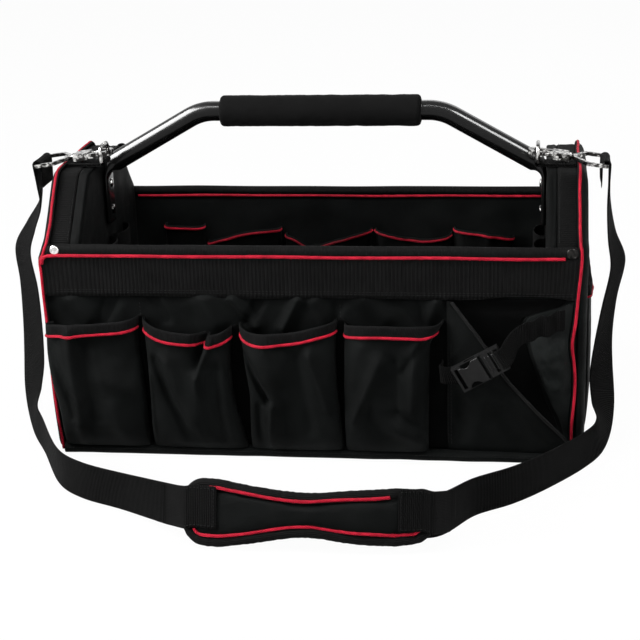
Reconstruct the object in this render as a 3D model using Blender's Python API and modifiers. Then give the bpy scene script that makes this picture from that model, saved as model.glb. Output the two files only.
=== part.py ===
"""Open-top tool bag with a bent tube handle, pockets, a buckled latch and a clipped shoulder strap.

Metres, +Z up. The origin is the centre of the bag's footprint on the floor, and the front faces -Y.
"""

import math

import bmesh
import bpy
from mathutils import Matrix, Vector

# Body of the bag
bag_length = 0.497
bag_depth = 0.228
rim_height = 0.212
fit_gap = 0.0003
overrun = 0.004
base_thickness = 0.003
board_thickness = 0.004
board_side_gap = 0.001
panel_thickness = 0.004

# End walls: an inner panel, a foam core, a bulging outer panel and a webbing gusset over the edge
end_core_thickness = 0.0253
end_inner_thickness = 0.003
end_outer_thickness = 0.0085
end_outer_bevel = 0.0055
end_top_rise = 0.063
end_top_half_depth = 0.060
end_corner_radius = 0.016
gusset_thickness = 0.002

# Rim webbing and red piping
webbing_thickness = 0.0022
rim_webbing_height = 0.050
rim_webbing_end_inset = 0.001
piping_radius = 0.0015
rim_piping_drop = 0.0092
rim_piping_end_inset = 0.0115
corner_rivet_inset = 0.0055
corner_rivet_drop = 0.0042

# Rivets
rivet_head_radius = 0.0044
rivet_head_height = 0.0016
rivet_shank_radius = 0.0016
rivet_tail_radius = 0.0034
rivet_tail_height = 0.0009

# Handle
tube_radius = 0.00975
foot_half_width = 0.0125
foot_half_thickness = 0.0026
foot_bottom_height = 0.205
foot_straight_length = 0.0565
tube_bend_radius = 0.018
tube_knee_offset = 0.1185
tube_knee_radius = 0.050
grip_axis_height = 0.317
grip_length = 0.198
grip_radius = 0.0152
grip_edge_round = 0.004
foot_rivet_rises = (0.0125, 0.0395)
bend_rivet_gap = 0.001

# Rings and snap hooks of the shoulder strap
ring_wire_radius = 0.0019
ring_half_width = 0.0135
ring_height = 0.0165
ring_bow_radius = 0.0070
ring_foot_radius = 0.0025
ring_y = -0.032
ring_overhang = 0.0090
ring_tab_width = 0.0225
ring_tab_thickness = 0.0016
hook_rise = 0.0086
hook_pitch = math.radians(8)
hook_thickness = 0.0045
hook_half_width = 0.0097
hook_arm_width = 0.0044
hook_nose_reach = 0.0040
hook_block_start = 0.0140
hook_block_end = 0.0290
hook_block_thickness = 0.0066
bolt_radius = 0.0015
bolt_length = 0.0157
bolt_travel = 0.006
bolt_knob_length = 0.0024
bolt_knob_start = 0.0125
bolt_knob_reach = 0.0042
eye_post_radius = 0.0020
eye_post_depth = 0.0080
eye_collar_radius = 0.0034
eye_collar_length = 0.0020
eye_loop_start = 0.0335
eye_shoulder = 0.0460
eye_bar_place = 0.0640
eye_half_width = 0.0235
eye_neck_half_width = 0.0050
eye_thickness = 0.0034
eye_rod_width = 0.0036

# Shoulder strap and pad
strap_width = 0.038
strap_thickness = 0.002
strap_tail_length = 0.024
strap_floor_gap = 0.0010
strap_flare = 0.048
pad_length = 0.212
pad_end_height = 0.0560
pad_middle_height = 0.040
pad_thickness = 0.013
pad_lean = math.radians(17)
pad_strap_gap = 0.0032
pad_reach = 0.1955

# Front pockets
pocket_fabric = 0.002
pocket_height = 0.134
pocket_foot = 0.007
pocket_depth = 0.024
pocket_sag = 0.006
pocket_gather = 0.003
side_pocket_width = 0.120
side_pocket_height = 0.150
side_pocket_depth = 0.006
inner_pocket_depth = 0.020
inner_pocket_foot = 0.012
inner_pocket_sag = 0.007
holster_height = 0.158
holster_depth = 0.017
holster_top_width = 0.008

# Latch buckle over the holster
latch_webbing_width = 0.020
latch_webbing_thickness = 0.0016
buckle_tilt = math.radians(30)
buckle_x = 0.1654
buckle_height = 0.1075
buckle_stand_off = 0.0275
buckle_width = 0.0256
socket_length = 0.0240
socket_thickness = 0.0080
socket_cavity_width = 0.0208
socket_cavity_thickness = 0.0048
socket_cavity_depth = 0.0204
window_start = 0.0052
window_end = 0.0160
slot_width = 0.0214
slot_length = 0.0034
slot_bar = 0.0022
plug_length = 0.0188
plug_thickness = 0.0064
plug_gap = 0.0005
tongue_width = 0.0064
tongue_thickness = 0.0024
tongue_length = 0.0164
arm_width = 0.0024
arm_thickness = 0.0035
arm_offset = 0.0076
arm_length = 0.0150
arm_head_length = 0.0080
arm_head_reach = 0.0040

# Webbing loops
loop_width = 0.025
loop_thickness = 0.0016
loop_reach = 0.011
loop_foot_gap = 0.0145
inner_loop_spacing = 0.050
hang_loop_width = 0.009
hang_loop_half_breadth = 0.0052
hang_loop_rise = 0.0190
hang_loop_y = 0.080
hang_loop_inset = 0.0225

# Shares of the sizes above, chosen by hand
front_pocket_edge_shares = ((-1.000, -0.664), (-0.652, -0.312), (-0.290, 0.080), (0.104, 0.490))
front_pocket_height_shares = (1.02, 0.99, 1.00, 1.00)
inner_pocket_edge_shares = ((-0.850, -0.660), (-0.640, -0.285), (-0.262, 0.158), (0.180, 0.535),
                            (0.557, 0.850))
inner_pocket_height_shares = (0.83, 0.82, 0.82, 0.80, 0.79)
holster_edge_shares = (0.516, 0.966)
strap_left_hang_shares = ((0.00, 0.02, 0.92, 0.15), (0.02, 0.04, 0.835, 0.30), (0.25, 0.10, 0.744, 0.55),
                          (0.43, 0.21, 0.652, 0.85), (0.33, 0.33, 0.514, 1.00), (0.28, 0.48, 0.357, 1.10),
                          (0.27, 0.62, 0.230, 1.15))
strap_right_hang_shares = ((0.00, 0.02, 0.92, 0.05), (0.00, 0.04, 0.834, 0.10), (0.07, 0.12, 0.722, 0.22),
                           (0.20, 0.23, 0.615, 0.45), (0.05, 0.40, 0.482, 0.45), (-0.06, 0.62, 0.350, 0.55),
                           (-0.10, 0.87, 0.240, 0.75))
strap_left_corner_shares = ((-1.166, -0.68, 0.122, 1.05, 0.36), (-1.138, -0.88, 0.035, 0.80, 0.72))
strap_left_floor_shares = ((-1.075, -1.10), (-0.936, -1.71), (-0.815, -1.97), (-0.640, -2.16))
strap_right_corner_shares = ((1.108, -0.78, 0.118, 0.90, 0.40), (1.100, -0.95, 0.035, 0.80, 0.75))
strap_right_floor_shares = ((1.038, -1.13), (0.893, -1.57), (0.772, -1.86), (0.640, -2.09))
pad_centre_share = 0.08
strap_behind_pad_shares = (-1.04, -0.7, -0.35, 0.0, 0.35, 0.7, 1.04)
pad_bow_share = 0.04
pad_section_shares = ((1.00, 0.00), (0.90, 0.62), (0.50, 1.00), (-0.50, 1.00), (-0.90, 0.62), (-1.00, 0.00),
                      (-0.90, -0.62), (-0.50, -1.00), (0.50, -1.00), (0.90, -0.62))
pad_station_shares = (-1.00, -0.97, -0.90, -0.80, -0.70, -0.40, 0.0, 0.40, 0.70, 0.80, 0.90, 0.97, 1.00)
pad_fullness_shares = (0.48, 0.66, 0.85, 0.96, 1.0, 1.0, 1.0, 1.0, 1.0, 0.96, 0.85, 0.66, 0.48)
pad_widest_share = 0.72
pocket_row_shares = (0.0, 0.12, 0.35, 0.68, 1.0)
holster_row_shares = (0.0, 0.15, 0.4, 0.65, 0.85, 1.0)
holster_swell_shares = (0.02, 0.98)
weld_share = 0.033
dome_shares = ((1.0, 0.0), (0.75, 0.55), (0.3, 1.0), (0.0, 1.0))
hole_run_share = 0.125
knob_share = 0.8
eye_inner_round_share = 0.333
latch_entry_share = 0.6
latch_tab_width_share = 0.9
latch_seam_drop_share = 0.7
latch_middle_share = 0.5
loop_half_span_share = 0.42
hang_loop_side_shares = ((0.3, 0.0), (1.0, 0.55), (0.75, 0.9))

# Powers that shape a swell, and counts of points
pocket_profile_power = 3
pocket_rise_power = 0.8
holster_power = 0.6
loop_power = 0.8
pad_waist_power = 1.5
tube_sides = 14
tube_arc_steps = 6
pocket_columns = 10
holster_columns = 8
loop_steps = 8
eye_bend_steps = 6
strap_steps = 3

# Derived places
half_length = bag_length / 2
half_depth = bag_depth / 2
wall_foot = base_thickness + fit_gap
wall_inside = half_depth - panel_thickness
core_inner = half_length - end_core_thickness
end_inside = core_inner - fit_gap - end_inner_thickness
end_half_depth = wall_inside - fit_gap
outer_start = half_length + fit_gap
end_top_height = foot_bottom_height + end_top_rise
tube_bend_height = foot_bottom_height + foot_straight_length
foot_rivet_heights = [foot_bottom_height + rise for rise in foot_rivet_rises]
inner_loop_height = foot_bottom_height - loop_foot_gap - loop_width / 2
gusset_top = end_top_height + fit_gap + gusset_thickness
webbing_face = half_depth + fit_gap + webbing_thickness
ring_x = end_inside - ring_overhang
ring_loop_radius = ring_wire_radius + fit_gap + ring_tab_thickness
ring_bar_height = gusset_top + fit_gap + ring_loop_radius
foot_x = end_inside - fit_gap - foot_half_thickness
hang_loop_x = hang_loop_inset - half_length
weld_distance = fit_gap * weld_share
up = Vector((0, 0, 1))
side_words = {-1: "left", 1: "right"}


def clear_scene():
    """Removes the startup objects and makes the collections for the parts and for the cutters."""
    for obj in list(bpy.data.objects):
        bpy.data.objects.remove(obj, do_unlink=True)
    made = []
    for name in ("tool_bag", "cutters"):
        collection = bpy.data.collections.new(name)
        bpy.context.scene.collection.children.link(collection)
        made.append(collection)
    return made


def surface(name, colour, roughness, metallic=0.0):
    """A Principled material."""
    made = bpy.data.materials.new(name)
    made.use_nodes = True
    shader = made.node_tree.nodes["Principled BSDF"]
    shader.inputs["Base Color"].default_value = (*colour, 1.0)
    shader.inputs["Roughness"].default_value = roughness
    shader.inputs["Metallic"].default_value = metallic
    made.diffuse_color = (*colour, 1.0)
    return made


parts, cutters = clear_scene()
finishes = {
    "fabric": ((0.012, 0.013, 0.014), 0.85, 0.0),
    "webbing": ((0.016, 0.016, 0.017), 0.75, 0.0),
    "red": ((0.55, 0.02, 0.04), 0.6, 0.0),
    "paint": ((0.008, 0.008, 0.009), 0.22, 0.0),
    "foam": ((0.013, 0.013, 0.014), 0.9, 0.0),
    "chrome": ((0.75, 0.74, 0.72), 0.18, 1.0),
    "plastic": ((0.012, 0.012, 0.013), 0.45, 0.0),
    "board": ((0.03, 0.03, 0.03), 0.8, 0.0),
}


def place(name, data, finish, matrix=None):
    """Links an object with its own material of that finish."""
    obj = bpy.data.objects.new(name, data)
    parts.objects.link(obj)
    obj.data.materials.append(surface(name, *finishes[finish]))
    if matrix is not None:
        obj.matrix_world = matrix
    return obj


def from_bmesh(name, shape, finish, matrix=None):
    """An object from a finished bmesh."""
    bmesh.ops.recalc_face_normals(shape, faces=shape.faces)
    mesh = bpy.data.meshes.new(name)
    shape.to_mesh(mesh)
    shape.free()
    return place(name, mesh, finish, matrix)


def box(name, low, high, finish, matrix=None, bevel=0.0):
    """A box between two corners, its edges rounded by bevel."""
    shape = bmesh.new()
    bmesh.ops.create_cube(shape, size=1.0)
    low = Vector(low)
    span = Vector(high) - low
    for vertex in shape.verts:
        vertex.co = Vector(low[i] + (vertex.co[i] + 0.5) * span[i] for i in range(3))
    obj = from_bmesh(name, shape, finish, matrix)
    if bevel:
        round_edges(obj, bevel)
    return obj


def round_edges(obj, width, segments=1):
    """A Bevel modifier on the sharp edges."""
    rounded = obj.modifiers.new("rounded", "BEVEL")
    rounded.width = width
    rounded.segments = segments
    rounded.limit_method = "ANGLE"
    rounded.angle_limit = math.radians(40)


def tube(name, points, radius, finish, cyclic=False, resolution=2, matrix=None):
    """A round wire through the points."""
    curve = bpy.data.curves.new(name, "CURVE")
    curve.dimensions = "3D"
    spline = curve.splines.new("POLY")
    spline.points.add(len(points) - 1)
    for target, point in zip(spline.points, points):
        target.co = (*point, 1.0)
    spline.use_cyclic_u = cyclic
    curve.bevel_depth = radius
    curve.bevel_resolution = resolution
    curve.use_fill_caps = True
    return place(name, curve, finish, matrix)


def plate(name, loops, thickness, finish, matrix):
    """A flat outline, with any holes, of that thickness, centred on the matrix's XY plane."""
    curve = bpy.data.curves.new(name, "CURVE")
    curve.dimensions = "2D"
    curve.fill_mode = "BOTH"
    curve.extrude = thickness / 2
    for loop in loops:
        spline = curve.splines.new("POLY")
        spline.points.add(len(loop) - 1)
        for target, (across, along) in zip(spline.points, loop):
            target.co = (across, along, 0.0, 1.0)
        spline.use_cyclic_u = True
    return place(name, curve, finish, matrix)


def as_mesh(obj):
    """The mesh object that replaces a curve object, its caps welded on."""
    bpy.context.view_layer.update()
    graph = bpy.context.evaluated_depsgraph_get()
    mesh = bpy.data.meshes.new_from_object(obj.evaluated_get(graph))
    shape = bmesh.new()
    shape.from_mesh(mesh)
    bmesh.ops.remove_doubles(shape, verts=shape.verts, dist=weld_distance)
    bmesh.ops.recalc_face_normals(shape, faces=shape.faces)
    shape.to_mesh(mesh)
    shape.free()
    name, matrix = obj.name, obj.matrix_world.copy()
    bpy.data.objects.remove(obj, do_unlink=True)
    made = bpy.data.objects.new(name, mesh)
    parts.objects.link(made)
    made.matrix_world = matrix
    return made


def hide_cutter(other):
    """Keeps a helper in the cutters' collection, out of the render."""
    for owner in list(other.users_collection):
        owner.objects.unlink(other)
    cutters.objects.link(other)
    other.hide_render = True
    other.display_type = "WIRE"


def combine(obj, other, operation):
    """A Boolean of obj with a helper, which is kept as a hidden cutter."""
    hide_cutter(other)
    step = obj.modifiers.new(other.name, "BOOLEAN")
    step.operation = operation
    step.solver = "EXACT"
    step.object = other


def cylinder(name, radius, start, end, matrix, finish="chrome", sides=16):
    """A cylinder along the matrix's X axis from start to end."""
    shape = bmesh.new()
    bmesh.ops.create_cone(shape, cap_ends=True, segments=sides, radius1=radius, radius2=radius,
                          depth=end - start)
    lie_down = Matrix.Rotation(math.pi / 2, 4, "Y")
    shift = Matrix.Translation(((start + end) / 2, 0, 0))
    bmesh.ops.transform(shape, matrix=shift @ lie_down, verts=shape.verts)
    return from_bmesh(name, shape, finish, matrix)


def turned(name, profile, finish, matrix, sides=16):
    """A turned solid about the matrix's X axis. profile holds (along, radius), far end first."""
    mesh = bpy.data.meshes.new(name)
    shape = bmesh.new()
    line = [shape.verts.new((along, radius, 0)) for along, radius in profile]
    for first, second in zip(line, line[1:]):
        shape.edges.new((first, second))
    shape.to_mesh(mesh)
    shape.free()
    obj = place(name, mesh, finish, matrix)
    screw = obj.modifiers.new("turned", "SCREW")
    screw.axis = "X"
    screw.steps = sides
    screw.render_steps = sides
    screw.use_merge_vertices = True
    screw.merge_threshold = weld_distance
    screw.use_smooth_shade = True
    return obj


def loft(name, rings, finish):
    """A closed solid through rings of points that differ from one to the next."""
    shape = bmesh.new()
    rows = [[shape.verts.new(point) for point in ring] for ring in rings]
    for below, above in zip(rows, rows[1:]):
        for i in range(len(below)):
            j = (i + 1) % len(below)
            shape.faces.new((below[i], below[j], above[j], above[i]))
    shape.faces.new(rows[0])
    shape.faces.new(rows[-1])
    return from_bmesh(name, shape, finish)


def sheet(name, rows, thickness, finish, offset):
    """A grid of points given a thickness. offset is 1 towards its normal and 0 about its middle."""
    shape = bmesh.new()
    grid = [[shape.verts.new(point) for point in row] for row in rows]
    for below, above in zip(grid, grid[1:]):
        for i in range(len(below) - 1):
            shape.faces.new((below[i], below[i + 1], above[i + 1], above[i]))
    mesh = bpy.data.meshes.new(name)
    shape.to_mesh(mesh)
    shape.free()
    obj = place(name, mesh, finish)
    solid = obj.modifiers.new("thickness", "SOLIDIFY")
    solid.thickness = thickness
    solid.offset = offset
    solid.use_even_offset = True
    return obj


def ribbon(name, centres, across, width, thickness, finish):
    """Webbing whose middle line runs through centres, with across giving the direction of its width."""
    halves = [a.normalized() * width / 2 for a in across]
    rows = [[centre - half, centre + half] for centre, half in zip(centres, halves)]
    return sheet(name, rows, thickness, finish, 0)


def arc(centre, radius, first, last, steps):
    """Points on a circle from one angle to another, in radians."""
    return [
        (centre[0] + radius * math.cos(first + (last - first) * i / steps),
         centre[1] + radius * math.sin(first + (last - first) * i / steps))
        for i in range(steps + 1)
    ]


def rounded_path(corners, radii, steps=5):
    """2D points through the corners, with an arc of each radius at each inner corner."""
    path = [Vector(corners[0])]
    for before, corner, after, radius in zip(corners, corners[1:], corners[2:], radii):
        corner = Vector(corner)
        back = (Vector(before) - corner).normalized()
        on = (Vector(after) - corner).normalized()
        half_angle = back.angle(on) / 2
        reach = radius / math.tan(half_angle)
        centre = corner + (back + on).normalized() * radius / math.sin(half_angle)
        start = corner + back * reach - centre
        end = corner + on * reach - centre
        turn = start.angle_signed(end)
        path += [centre + Matrix.Rotation(-turn * i / steps, 2) @ start for i in range(steps + 1)]
    path.append(Vector(corners[-1]))
    return path


def closed_outline(corners, radii, steps=4):
    """A closed loop of 2D points with an arc at each corner."""
    around = [corners[-1], *corners, corners[0]]
    return [tuple(point) for point in rounded_path(around, radii, steps)[1:-1]]


def smooth_route(points, steps):
    """Points on a smooth curve through the given ones."""
    ends = [points[0] * 2 - points[1], *points, points[-1] * 2 - points[-2]]
    made = []
    for a, b, c, d in zip(ends, ends[1:], ends[2:], ends[3:]):
        for i in range(steps):
            t = i / steps
            made.append(
                b + (c - a) * (t / 2) + (a * 2 - b * 5 + c * 4 - d) * (t * t / 2)
                + (b * 3 - a - c * 3 + d) * (t * t * t / 2)
            )
    return [*made, points[-1]]


def on_end_plane(x):
    """The matrix whose XY plane is an end wall at x: its X is world Y and its Y is world Z."""
    return Matrix(((0, 0, 1, x), (1, 0, 0, 0), (0, 1, 0, 0), (0, 0, 0, 1)))


def end_outline(grow):
    """The outline of an end wall in (y, z), grown outwards by a margin."""
    low = wall_foot
    wide = end_half_depth + grow
    narrow = end_top_half_depth + grow
    corners = [(-wide, low), (wide, low), (wide, rim_height), (narrow, end_top_height + grow),
               (-narrow, end_top_height + grow), (-wide, rim_height)]
    small = gusset_thickness
    return corners, [small, small] + [end_corner_radius] * 4


def make_body():
    """The base, its stiffener board and the front and back panels."""
    box("base_panel", (-half_length, -half_depth, 0), (half_length, half_depth, base_thickness), "fabric")
    board_length = end_inside - board_side_gap
    board_depth = wall_inside - board_side_gap
    board_top = wall_foot + board_thickness
    low = (-board_length, -board_depth, wall_foot)
    box("base_board", low, (board_length, board_depth, board_top), "board")
    for name, y in (("front_panel", -half_depth), ("back_panel", wall_inside)):
        low = (-half_length, y, wall_foot)
        box(name, low, (half_length, y + panel_thickness, rim_height), "fabric")


def make_end_wall(side):
    """One end wall: inner panel, foam core, bulging outer panel, gusset and piping."""
    word = side_words[side]
    corners, radii = end_outline(0)
    outline = closed_outline(corners, radii)
    inner_middle = side * (end_inside + end_inner_thickness / 2)
    inner_plane = on_end_plane(inner_middle)
    as_mesh(plate(f"{word}_end_inner_panel", [outline], end_inner_thickness, "fabric", inner_plane))
    core_middle = side * (core_inner + end_core_thickness / 2)
    as_mesh(plate(f"{word}_end_core", [outline], end_core_thickness, "foam", on_end_plane(core_middle)))
    grown, grown_radii = end_outline(panel_thickness)
    outer_middle = side * (outer_start + end_outer_thickness / 2)
    grown_loop = closed_outline(grown, grown_radii)
    outer_plane = on_end_plane(outer_middle)
    outer_name = f"{word}_end_outer_panel"
    outer = as_mesh(plate(outer_name, [grown_loop], end_outer_thickness, "fabric", outer_plane))
    round_edges(outer, end_outer_bevel / 2, 2)

    middle_grow = fit_gap + gusset_thickness / 2
    line, line_radii = end_outline(middle_grow)
    rim_lift = rim_height + fit_gap + gusset_thickness
    slope = (line[2][0] - line[3][0]) / (line[3][1] - line[2][1])
    start = (line[2][0] - slope * (rim_lift - rim_height), rim_lift)
    path = rounded_path([start, line[3], line[4], (-start[0], rim_lift)], line_radii[3:5])
    width = half_length - end_inside
    middle = side * (half_length + end_inside) / 2
    centres = [Vector((middle, y, z)) for y, z in path]
    across = [Vector((1, 0, 0))] * len(centres)
    ribbon(f"{word}_end_gusset", centres, across, width, gusset_thickness, "webbing")

    out = panel_thickness + fit_gap + piping_radius
    run, run_radii = end_outline(out)
    around = [(run[1][0], wall_foot), run[2], run[3], run[4], run[5], (run[0][0], wall_foot)]
    piping_x = side * (outer_start + piping_radius)
    points = [(piping_x, y, z) for y, z in rounded_path(around, run_radii[2:], 4)]
    tube(f"{word}_end_piping", points, piping_radius, "red")


def make_rim():
    """The webbing round the rim, its piping and the corner rivets."""
    length = half_length - rim_webbing_end_inset
    low = rim_height - rim_webbing_height
    for name, sign in (("front", -1), ("back", 1)):
        near, far = sorted((sign * (half_depth + fit_gap), sign * webbing_face))
        band = box(f"{name}_rim_webbing", (-length, near, low), (length, far, rim_height), "webbing")
        panel = bpy.data.objects[f"{name}_panel"]
        run = half_length - rim_piping_end_inset
        y = sign * (webbing_face + fit_gap + piping_radius)
        z = rim_height - rim_piping_drop
        tube(f"{name}_rim_piping", [(-run, y, z), (run, y, z)], piping_radius, "red")
        for side in (-1, 1):
            place_x = side * (half_length - corner_rivet_inset)
            spot = Vector((place_x, sign * webbing_face, rim_height - corner_rivet_drop))
            rivet(f"{name}_{side_words[side]}_corner_rivet", spot, Vector((0, sign, 0)),
                  [band, panel], webbing_thickness + fit_gap + panel_thickness, "chrome")


def facing(spot, out):
    """A matrix at spot whose X axis points along out."""
    turn = Vector((1, 0, 0)).rotation_difference(out)
    return Matrix.Translation(spot) @ turn.to_matrix().to_4x4()


def rivet(name, spot, out, carriers, grip, finish, tail_in=None):
    """A domed rivet whose head seats at spot and whose shank fills a hole through the carriers."""
    matrix = facing(spot, out)
    shank_end = -(grip - fit_gap)
    profile = [(fit_gap + rivet_head_height * rise, rivet_head_radius * wide) for rise, wide in dome_shares]
    profile.append((fit_gap, rivet_shank_radius))
    if tail_in is None:
        profile += [(shank_end, rivet_shank_radius), (shank_end, 0.0)]
    else:
        seat = -(grip + fit_gap)
        tail = seat - rivet_tail_height
        profile += [(seat, rivet_shank_radius), (seat, rivet_tail_radius)]
        profile += [(tail, rivet_tail_radius), (tail, 0.0)]
        wide = rivet_tail_radius + fit_gap
        recess = cylinder(f"{name}_recess", wide, tail - fit_gap, seat + overrun, matrix)
        combine(tail_in, recess, "DIFFERENCE")
    turned(name, profile, finish, matrix)
    hole_end = -(grip + overrun * hole_run_share)
    hole = cylinder(f"{name}_hole", rivet_shank_radius + fit_gap, hole_end, overrun, matrix)
    for carrier in carriers:
        combine(carrier, hole, "DIFFERENCE")


def make_handle():
    """The bent tube with its flattened feet, the foam grip and the rivets that hold the feet."""
    corners = [(-foot_x, foot_bottom_height), (-foot_x, tube_bend_height),
               (-tube_knee_offset, grip_axis_height), (tube_knee_offset, grip_axis_height),
               (foot_x, tube_bend_height), (foot_x, foot_bottom_height)]
    slope = Vector(corners[2]) - Vector(corners[1])
    half_angle = slope.angle(Vector((0, -1))) / 2
    straight = tube_bend_height - foot_rivet_heights[-1] - rivet_head_radius - bend_rivet_gap
    bend_radius = min(tube_bend_radius, straight * math.tan(half_angle))
    radii = [bend_radius, tube_knee_radius, tube_knee_radius, bend_radius]
    path = rounded_path(corners, radii, tube_arc_steps)
    rings = []
    for i, point in enumerate(path):
        before = path[max(i - 1, 0)]
        after = path[min(i + 1, len(path) - 1)]
        tangent = (after - before).normalized()
        normal = Vector((-tangent.y, 0, tangent.x))
        inward = foot_x - abs(point.x)
        half_thickness = min(tube_radius, foot_half_thickness + inward)
        flatness = (tube_radius - half_thickness) / (tube_radius - foot_half_thickness)
        half_width = tube_radius + (foot_half_width - tube_radius) * flatness
        middle = Vector((point.x, 0, point.y))
        ring = []
        for k in range(tube_sides):
            angle = 2 * math.pi * k / tube_sides
            sideways = Vector((0, half_width * math.cos(angle), 0))
            ring.append(middle + sideways + normal * (half_thickness * math.sin(angle)))
        rings.append(ring)
    handle = loft("handle_tube", rings, "paint")
    bore = tube_radius + fit_gap
    half = grip_length / 2
    soft = grip_radius - grip_edge_round
    flat_half = half - grip_edge_round
    profile = [(half, bore), (half, soft), (flat_half, grip_radius), (-flat_half, grip_radius),
               (-half, soft), (-half, bore), (half, bore)]
    turned("handle_grip", profile, "foam", Matrix.Translation((0, 0, grip_axis_height)), 24)
    for side in (-1, 1):
        word = side_words[side]
        panel = bpy.data.objects[f"{word}_end_inner_panel"]
        core = bpy.data.objects[f"{word}_end_core"]
        for height, level in zip(foot_rivet_heights, ("lower", "upper")):
            spot = Vector((side * (foot_x - foot_half_thickness), 0, height))
            grip = foot_half_thickness * 2 + fit_gap + end_inner_thickness
            inward = Vector((-side, 0, 0))
            rivet(f"{word}_handle_rivet_{level}", spot, inward, [handle, panel], grip, "chrome", core)


def hook_frame(side):
    """The frame of one snap hook: its X axis runs outwards and a little down, its origin is on the ring."""
    turn = Matrix.Rotation(0 if side > 0 else math.pi, 4, "Z")
    pitch = Matrix.Rotation(hook_pitch, 4, "Y")
    return Matrix.Translation((side * ring_x, ring_y, ring_bar_height + hook_rise)) @ turn @ pitch


def make_ring(side):
    """The webbing tab sewn on the end wall's top and the ring that it holds."""
    word = side_words[side]
    radius = ring_loop_radius
    under = ring_bar_height - radius
    tab_end = half_length - fit_gap
    step = math.pi / 2 - math.acos((radius - 2 * ring_tab_thickness) / radius)
    loop = arc((0, 0), radius, step, 2 * math.pi - math.pi / 2, 12)
    reach = tab_end - ring_x
    outline = [*loop, (reach, -radius), (reach, 2 * ring_tab_thickness - radius)]
    hole = arc((0, 0), ring_wire_radius + fit_gap, 0, 2 * math.pi, 12)[:-1]
    flat = Matrix(((side, 0, 0, side * ring_x), (0, 0, -side, ring_y),
                   (0, 1, 0, under + radius), (0, 0, 0, 1)))
    as_mesh(plate(f"{word}_ring_tab", [outline, hole], ring_tab_width, "webbing", flat))
    corners = [(-ring_half_width, 0), (-ring_half_width, ring_height), (ring_half_width, ring_height),
               (ring_half_width, 0)]
    line = closed_outline(corners, [ring_foot_radius, ring_bow_radius, ring_bow_radius, ring_foot_radius], 3)
    pivot = Matrix.Translation((side * ring_x, ring_y, ring_bar_height))
    points = [(0.0, y, z) for y, z in line]
    tube(f"{word}_ring", points, ring_wire_radius, "chrome", cyclic=True, matrix=pivot)


def make_hook(side):
    """The snap hook's body, its sliding bolt and the swivel eye that the strap goes round."""
    word = side_words[side]
    frame = hook_frame(side)
    wide = hook_half_width
    thin = hook_arm_width
    middle = wide - thin / 2
    far = arc((0, 0), wide, math.pi / 2, 3 * math.pi / 2, 8)
    near = arc((0, 0), wide - thin, 3 * math.pi / 2, math.pi / 2, 8)
    outline = [(hook_block_end, wide), *far, (hook_nose_reach, -wide), (hook_nose_reach, thin - wide), *near,
               (hook_block_start, wide - thin), (hook_block_start, -wide), (hook_block_end, -wide)]
    body = as_mesh(plate(f"{word}_snap_hook", [outline], hook_thickness, "chrome", frame))
    half_block = hook_block_thickness / 2
    block = box(f"{word}_hook_block", (hook_block_start + fit_gap, fit_gap - wide, -half_block),
                (hook_block_end + fit_gap, wide - fit_gap, half_block), "chrome", frame)
    combine(body, block, "UNION")
    bolt_line = frame @ Matrix.Translation((0, -middle, 0))
    bolt_start = hook_nose_reach + fit_gap
    bore_end = bolt_start + bolt_length + bolt_travel + fit_gap
    bore_start = hook_block_start - overrun
    bore = cylinder(f"{word}_bolt_bore", bolt_radius + fit_gap, bore_start, bore_end, bolt_line)
    combine(body, bore, "DIFFERENCE")
    knob_half = bolt_radius * knob_share
    knob_first = bolt_start + bolt_knob_start
    knob_last = knob_first + bolt_knob_length
    slot = box(f"{word}_knob_slot", (knob_first - fit_gap, -wide, -knob_half - fit_gap),
               (knob_last + bolt_travel + fit_gap, 0, knob_half + fit_gap), "chrome", bolt_line)
    combine(body, slot, "DIFFERENCE")
    post_start = hook_block_end - eye_post_depth
    bore_out = hook_block_end + overrun
    socket = cylinder(f"{word}_post_bore", eye_post_radius + fit_gap, post_start, bore_out, frame)
    combine(body, socket, "DIFFERENCE")

    bolt = cylinder(f"{word}_hook_bolt", bolt_radius, bolt_start, bolt_start + bolt_length, bolt_line)
    knob = box(f"{word}_bolt_knob", (knob_first, -bolt_knob_reach, -knob_half), (knob_last, 0, knob_half),
               "chrome", bolt_line)
    combine(bolt, knob, "UNION")

    half = eye_half_width
    rod = eye_rod_width
    bar_far = eye_bar_place + rod / 2
    bar_near = eye_bar_place - rod / 2
    outer_corners = [(eye_loop_start, -eye_neck_half_width), (eye_shoulder, -half), (bar_far, -half),
                     (bar_far, half), (eye_shoulder, half), (eye_loop_start, eye_neck_half_width)]
    outer = closed_outline(outer_corners, [rod / 2] * 6, 2)
    neck = eye_neck_half_width - rod / 2
    inner_corners = [(eye_loop_start + rod, -neck), (eye_shoulder + rod / 2, rod - half),
                     (bar_near, rod - half), (bar_near, half - rod),
                     (eye_shoulder + rod / 2, half - rod), (eye_loop_start + rod, neck)]
    inner = closed_outline(inner_corners, [rod * eye_inner_round_share] * 6, 2)
    eye = as_mesh(plate(f"{word}_swivel_eye", [outer, inner], eye_thickness, "chrome", frame))
    collar_start = hook_block_end + 2 * fit_gap
    post_end = eye_loop_start + rod / 2
    post = cylinder(f"{word}_eye_post", eye_post_radius, post_start + fit_gap, post_end, frame)
    collar_end = collar_start + eye_collar_length
    collar = cylinder(f"{word}_eye_collar", eye_collar_radius, collar_start, collar_end, frame)
    combine(eye, post, "UNION")
    combine(eye, collar, "UNION")


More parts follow.
